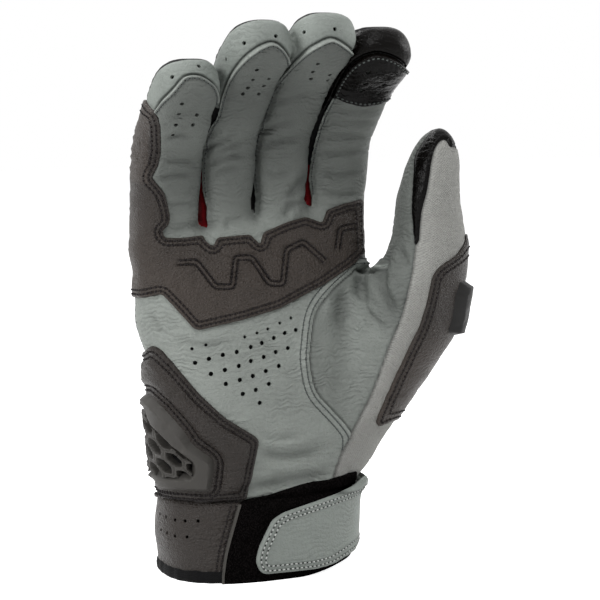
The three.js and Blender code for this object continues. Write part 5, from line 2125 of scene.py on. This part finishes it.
def add_touch_patch():
    """The black patch, which has the skin's perforations."""
    on_tip = on_pad_side(finger_of["index"], Dressed(skin), "touch")
    field = np.minimum(on_tip, hole_field(skin.points))
    sheet = patch_sheet(skin, field, TOUCH_THICKNESS)
    sheet.values["inside"][:] = 0
    add_patch("touch_tip", sheet, black_leather, {"index": ["index_touch_patch"]})
    sew_rows(sheet, Dressed(sheet).inside("touch"), TOUCH_ROWS, grey_thread, ["index"])


def add_loops():
    """The field of loops, and a moulded edge along its upper side."""
    seen = Dressed(skin)
    _, y, z = seen.base.T
    end = LOOP_END_Y - LOOP_END_SLANT * np.maximum(z - LOOP_SLANT_FROM, 0)
    field = np.minimum(seen.inside("loop"), end - y)
    sheet = patch_sheet(skin, field, LOOP_HEIGHT, low=LOOP_FOOT, soft=0.5)
    add_patch("loop_field", sheet, loops, {"palm": ["loop_patch"]}, low=LOOP_FOOT)
    edge = [seen.inside("loop") + LOOP_EDGE_WIDTH, LOOP_EDGE_TOP - z, LOOP_END_Y - y]
    band, _ = parted(skin, np.minimum.reduce(edge))
    _, band = parted(band, Dressed(band).inside("loop") - 0.1)
    sheet = patch_sheet(band, np.full(len(band.points), 1.0), LOOP_EDGE_HEIGHT, soft=0.3)
    add_patch("loop_edge", sheet, plastic, {"palm": ["loop_patch"]})


add_overlay()
add_heel()
add_slider()
add_thumb_patch()
add_plate()
add_touch_patch()
add_loops()


# Strap over the loop field, round the thumb side to its root on the back
STRAP_FRONT_Y = -10.0
STRAP_BACK_Y = 0.6
STRAP_ROOT_X = 30.0
STRAP_LOW, STRAP_HIGH = 8.5, 37.5
STRAP_INNER, STRAP_OUTER = 3.3, 5.4
STRAP_SOFT = 1.0
# Millimetres of skin taken along round the strap before it is cut
STRAP_MARGIN = 4
# The hooks under the strap's end, and how far they stay inside its edge
HOOK_INNER, HOOK_OUTER = 1.9, 3.0
HOOK_MARGIN = 4.5
HOOK_FRONT_Y = -12
HOOK_RIGHT_X = 24


def smooth_stretch(field):
    """A part of the skin without its relief."""
    sheet, _ = parted(skin, field)
    sheet.points = sheet.values["base"].copy()
    sheet.values["shading"] = sheet.values["normal"].copy()
    return sheet


def strap_field(seen):
    """Positive on the strap: inside its outline in front, and on a level band behind."""
    x, _, z = seen.base.T
    behind = np.minimum.reduce([z - STRAP_LOW, STRAP_HIGH - z, x - STRAP_ROOT_X])
    share = smooth_step(seen.facing, 0.1, 0.35)
    return share * seen.inside("strap") + (1 - share) * behind


def hook_field(seen):
    """Positive on the hooks under the strap's free end."""
    front = np.minimum(HOOK_FRONT_Y - seen.base[:, 1], HOOK_RIGHT_X - seen.base[:, 0])
    return np.minimum(seen.inside("strap") - HOOK_MARGIN, front)


def add_strap():
    """The strap's tongue, its turn round the thumb's side, its sewn end and its hooks."""
    sheet = smooth_stretch(strap_field(Dressed(skin)) + STRAP_MARGIN)
    strap = patch_sheet(sheet, strap_field(Dressed(sheet)), STRAP_OUTER, STRAP_INNER, STRAP_SOFT)
    front, rest = parted(strap, STRAP_FRONT_Y - strap.values["base"][:, 1])
    root, bend = parted(rest, rest.values["base"][:, 1] - STRAP_BACK_Y)
    for distance in PATCH_ROWS:
        for zone, part in ((STRAP_ZONE, front), (STRAP_TURN, bend), (HAND_ZONE, root)):
            rows = isolines(part, part.values["inside"] - distance)
            sew(zone, rows, light_thread, PAD_STITCH_RADIUS)
    add_shell("strap_tongue", front, STRAP_ZONE, smooth_leather, ["strap"], STRAP_INNER)
    add_shell("strap_turn", bend, STRAP_TURN, smooth_leather, ["strap_bend"], STRAP_INNER)
    add_shell("strap_end", root, HAND_ZONE, smooth_leather, ["strap_root"], STRAP_INNER)
    hook = patch_sheet(sheet, hook_field(Dressed(sheet)), HOOK_OUTER, HOOK_INNER, soft=0.4)
    add_shell("strap_hooks", hook, STRAP_ZONE, loops, ["strap_hook"], HOOK_INNER)


TURN_START = (46, STRAP_BACK_Y, 20)
TURN_END = (44, STRAP_FRONT_Y, 20)
HAND_ZONE = Zone("hand", "hand")
STRAP_ZONE = Zone("strap", "strap")
STRAP_TURN = Zone("turn", "hand", "strap", TURN_START, TURN_END)
add_strap()


# Hem binding, swept round the cuff's end. Its section is in millimetres outwards and up.
HEM_OUT, HEM_IN = 1.5, -1.5
HEM_STEPS = 260
HEM_SECTION = [
    (HEM_IN, 0.5), (HEM_IN + 0.5, 0), (HEM_OUT - 0.6, 0), (HEM_OUT, 0.8), (HEM_OUT + 0.15, 2.6),
    (HEM_OUT - 0.1, 4.4), (HEM_OUT - 0.7, 5.0), (HEM_IN + 0.5, 5.0), (HEM_IN, 4.5),
]
# Waves round the tape: height, number and phase
HEM_WAVES = ((0.12, 31, 0), (0.1, 47, 1))


def ring_points(height, count):
    """Points of the palm's level section and their outward directions."""
    left, right, depth, middle = (float(v[0]) for v in table_at(PALM_SECTIONS, np.array([height])))
    turn = np.arange(count) * math.tau / count
    share = 2 / PALM_POWER
    x = (right - left) / 2 * np.sign(np.cos(turn)) * np.abs(np.cos(turn)) ** share
    y = depth / 2 * np.sign(np.sin(turn)) * np.abs(np.sin(turn)) ** share
    line = np.stack([x + (left + right) / 2, y + middle], 1)
    even = np.concatenate([line, line[:1]])
    length = np.concatenate([[0], np.cumsum(np.linalg.norm(np.diff(even, axis=0), axis=1))])
    marks = np.arange(count) * length[-1] / count
    line = np.stack([np.interp(marks, length, even[:, k]) for k in (0, 1)], 1)
    along = np.roll(line, -1, 0) - np.roll(line, 1, 0)
    return line, unit(np.stack([along[:, 1], -along[:, 0]], 1))


def swept(rings):
    """Points and triangles of a closed tube through rings of equal count."""
    rings = np.array(rings)
    steps, count = rings.shape[:2]
    a = np.arange(steps * count).reshape(steps, count)
    b, c = np.roll(a, -1, 1), np.roll(a, -1, 0)
    d = np.roll(c, -1, 1)
    quads = np.stack([a, b, d, c], -1).reshape(-1, 4)
    return rings.reshape(-1, 3), np.concatenate([quads[:, [0, 1, 2]], quads[:, [0, 2, 3]]])


def add_hem():
    """The tape round the hem, a little wavy on its outer side."""
    line, out = ring_points(0, HEM_STEPS)
    turn = np.arange(HEM_STEPS) * math.tau / HEM_STEPS
    wave = sum(height * np.sin(number * turn + phase) for height, number, phase in HEM_WAVES)
    rings = []
    for place, direction, swell in zip(line, out, wave):
        rise = hem_rise(place[0])
        ring = [(*(place + direction * (o + swell * (o > 0))), h + rise) for o, h in HEM_SECTION]
        rings.append(ring)
    points, triangles = swept(rings)
    piece = add_piece("hem_tape", points, triangles, tape)
    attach(piece, "hand")
    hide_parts("hem_binding")


add_hem()


# Lining inside the hand
LINER_TOP = 119.0
LINER_FLOOR = 1.8
LINER_LOWEST = 1.6
LINER_OUT, LINER_IN = -3.2, -4.2
LINER_VOXEL = 3.5


def add_liner():
    """A bag of lining as far up as the hand is open, the same distance inside the skin all round."""
    sheet = hand_sheet(LINER_VOXEL)
    floor = LINER_FLOOR + hem_rise(sheet.points[:, 0])
    sheet, _ = parted(sheet, np.minimum(sheet.points[:, 2] - floor, LINER_TOP - sheet.points[:, 2]))
    settle(sheet, 1)
    sheet.points[:, 2] = np.clip(sheet.points[:, 2], LINER_FLOOR, LINER_TOP)
    shade_outer(sheet)
    points, triangles, normals = solid_from(sheet, LINER_OUT, LINER_IN)
    points[:, 2] = np.maximum(points[:, 2], LINER_LOWEST)
    piece = add_piece("lining_bag", points, triangles, lining, normals)
    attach(piece, "hand")
    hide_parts("hand_liner")


add_liner()


# Knuckle guard on the back, on its padded base. Outlines are x and z in millimetres.
GUARD_BASE = [(-47, 96), (-46, 122.4), (43, 122.4), (44, 95), (26, 93), (8, 95.5), (-8, 93), (-28, 95.5)]
GUARD = [
    (-43, 101), (-42, 120.8), (39, 120.8), (40, 99), (31, 95.5), (22, 98.5), (13, 95.5), (3, 99),
    (-6, 95.5), (-16, 98.5), (-26, 95.5), (-36, 99),
]
GUARD_BACK_Y = 4
GUARD_MARGIN = 2
CUSHION_HEIGHT = 2.4
CUSHION_ROWS = (1.5,)
GUARD_FOOT = 1.2
# Height of the guard outside its domes, what the domes add, and the shares of these in between
GUARD_LOW, GUARD_RISE = 1.8, 6.2
PLAIN_SHARE = 0.42
DOME_SHARE = 0.5
RIDGE_SHARE = 0.1
DOME_POWER = 2.4
# The ridge along each dome: width, softness of its sides, and length as a share of the dome's
RIDGE_WIDTH = 3.2
RIDGE_SOFT = 0.8
RIDGE_LENGTH = 0.8
# Middle x and half width of the dome over each knuckle
KNUCKLES = [(-33.5, 10.5), (-12.5, 10.5), (8.5, 10.5), (29.5, 10.5)]
KNUCKLE_Z = 110.5
KNUCKLE_HALF_HEIGHT = 12
# Three slanting vents one above the other on each side of a dome's ridge
VENT_WIDTH = 2.2
VENT_HALF_LENGTH = 2.2
VENT_PITCH = 5.2
VENT_SLANT = 0.25


def outline_field(outline, seen, radius=3.0):
    """Millimetres inside an outline on the back of the hand."""
    inside = within(rounded(outline, radius, closed=True), seen.base[:, [0, 2]])
    return np.minimum(inside, seen.base[:, 1] - GUARD_BACK_Y)


def dome_rise(sheet):
    """The knuckle guard's height, as a share: a dome over each knuckle, with a ridge along it."""
    x, _, z = sheet.values["base"].T
    rise = np.full(len(x), PLAIN_SHARE)
    for middle, half_width in KNUCKLES:
        a, b = np.abs(x - middle) / half_width, np.abs(z - KNUCKLE_Z) / KNUCKLE_HALF_HEIGHT
        level = (a**DOME_POWER + b**DOME_POWER) ** (1 / DOME_POWER)
        dome = np.sqrt(np.clip(1 - level**2, 0, 1))
        crest = RIDGE_SHARE * smooth_step(RIDGE_WIDTH / 2 - np.abs(x - middle), 0, RIDGE_SOFT)
        crest *= level < RIDGE_LENGTH
        rise = np.maximum(rise, PLAIN_SHARE + DOME_SHARE * dome + crest)
    return rise


def vent_field(sheet):
    """Positive away from the guard's vents."""
    x, _, z = sheet.values["base"].T
    field = np.full(len(x), 9.0)
    for middle, half_width in KNUCKLES:
        for side in (-1, 1):
            for row in (-1, 0, 1):
                u = x - middle - side * half_width * 0.5
                w = z - KNUCKLE_Z - row * VENT_PITCH + side * u * VENT_SLANT
                vent = np.hypot(np.maximum(np.abs(u) - VENT_HALF_LENGTH, 0), w) - VENT_WIDTH / 2
                field = np.minimum(field, vent)
    return field


def add_guard():
    """The moulded guard with its domes and vents, on a padded cushion."""
    field = outline_field(GUARD_BASE, Dressed(skin))
    base = patch_sheet(skin, field, CUSHION_HEIGHT, soft=CUSHION_HEIGHT)
    nodes = {"palm": ["knuckle_guard_base"]}
    for piece in add_patch("guard_cushion", base, dark_leather, nodes, CUSHION_ROWS):
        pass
    near = finely(skin, outline_field(GUARD, Dressed(skin)) + GUARD_MARGIN)
    field = np.minimum(outline_field(GUARD, Dressed(near)), vent_field(near))
    near.values["dome"] = dome_rise(near)
    guard = patch_sheet(near, field, 1.0, 0.0, soft=0.8, rise=bevelled)
    guard.points = guard.values["base"].copy()
    guard.values["outer"] = GUARD_LOW + GUARD_RISE * guard.values["dome"] * guard.values["outer"]
    shade_outer(guard)
    add_patch("guard_shell", guard, plastic, {"palm": ["knuckle_guard"]}, low=GUARD_FOOT)


add_guard()
add_threads()


# Camera, light and floor. Places are in metres.
LOOK_AT = np.array([0.0, 0.0, 0.11])
LAMP_SIZE = 0.5
LAMPS = {
    "left": ((-1.15, -0.3, 0.7), 9),
    "top": ((-0.1, -0.75, 1.3), 9),
    "right": ((1.25, -0.1, 0.5), 7),
    "back": ((-0.3, 0.7, 1.2), 8),
}
WORLD_LIGHT = 0.03
FLOOR_SIZE = 6.0
FLOOR_GREY = 0.86
FLOOR_GLOW = 0.9
FLOOR_WHITENS = (0.2, 0.6)


def add_lamp(name, place, power):
    data = bpy.data.lights.new(name, "AREA")
    data.size = LAMP_SIZE
    data.energy = power
    lamp = bpy.data.objects.new(name, data)
    bpy.context.scene.collection.objects.link(lamp)
    lamp.location = place
    lamp.rotation_euler = Vector(np.array(place) - LOOK_AT).to_track_quat("Z", "Y").to_euler()


def seen_directly(tree):
    """One where a ray comes from the camera, or from it through a reflection."""
    rays = add_node(tree, "ShaderNodeLightPath").outputs
    total = rays["Is Camera Ray"]
    for name in ("Is Glossy Ray", "Is Transmission Ray"):
        total = add_node(tree, "ShaderNodeMath", {0: total, 1: rays[name]}, operation="MAXIMUM").outputs[0]
    return total


def add_world():
    """A background that shows white and gives little light."""
    world = bpy.data.worlds.new("studio")
    bpy.context.scene.world = world
    world.use_nodes = True
    tree = world.node_tree
    inputs = {"Value": seen_directly(tree), "To Min": WORLD_LIGHT, "To Max": 1.0}
    strength = add_node(tree, "ShaderNodeMapRange", inputs).outputs[0]
    background = tree.nodes["Background"]
    background.inputs["Color"].default_value = (1, 1, 1, 1)
    tree.links.new(strength, background.inputs["Strength"])


def floor_look():
    """Off-white, glowing to the eye and going over into the white background."""
    n = Nodes("floor")
    place = n.add("ShaderNodeTexCoord").outputs["Object"]
    far = n.add("ShaderNodeVectorMath", {0: place}, operation="LENGTH").outputs["Value"]
    glow = n.math("MULTIPLY", seen_directly(n.tree), n.between(far, *FLOOR_WHITENS, FLOOR_GLOW, 1.0))
    n.tree.links.new(glow, n.shader.inputs["Emission Strength"])
    white = (1, 1, 1, 1)
    return n.finish((FLOOR_GREY,) * 3, 0.9, None, Emission_Color=white, Specular_IOR_Level=0.0)


def add_floor():
    data = bpy.data.meshes.new("floor")
    half = FLOOR_SIZE / 2
    corners = [(-half, -half, 0), (half, -half, 0), (half, half, 0), (-half, half, 0)]
    data.from_pydata(corners, [], [(0, 1, 2, 3)])
    floor = bpy.data.objects.new("floor", data)
    bpy.context.scene.collection.objects.link(floor)
    data.materials.append(floor_look())


add_camera()
for name, (place, power) in LAMPS.items():
    add_lamp(name, place, power)
add_world()
add_floor()
bpy.context.scene.view_settings.view_transform = "Standard"
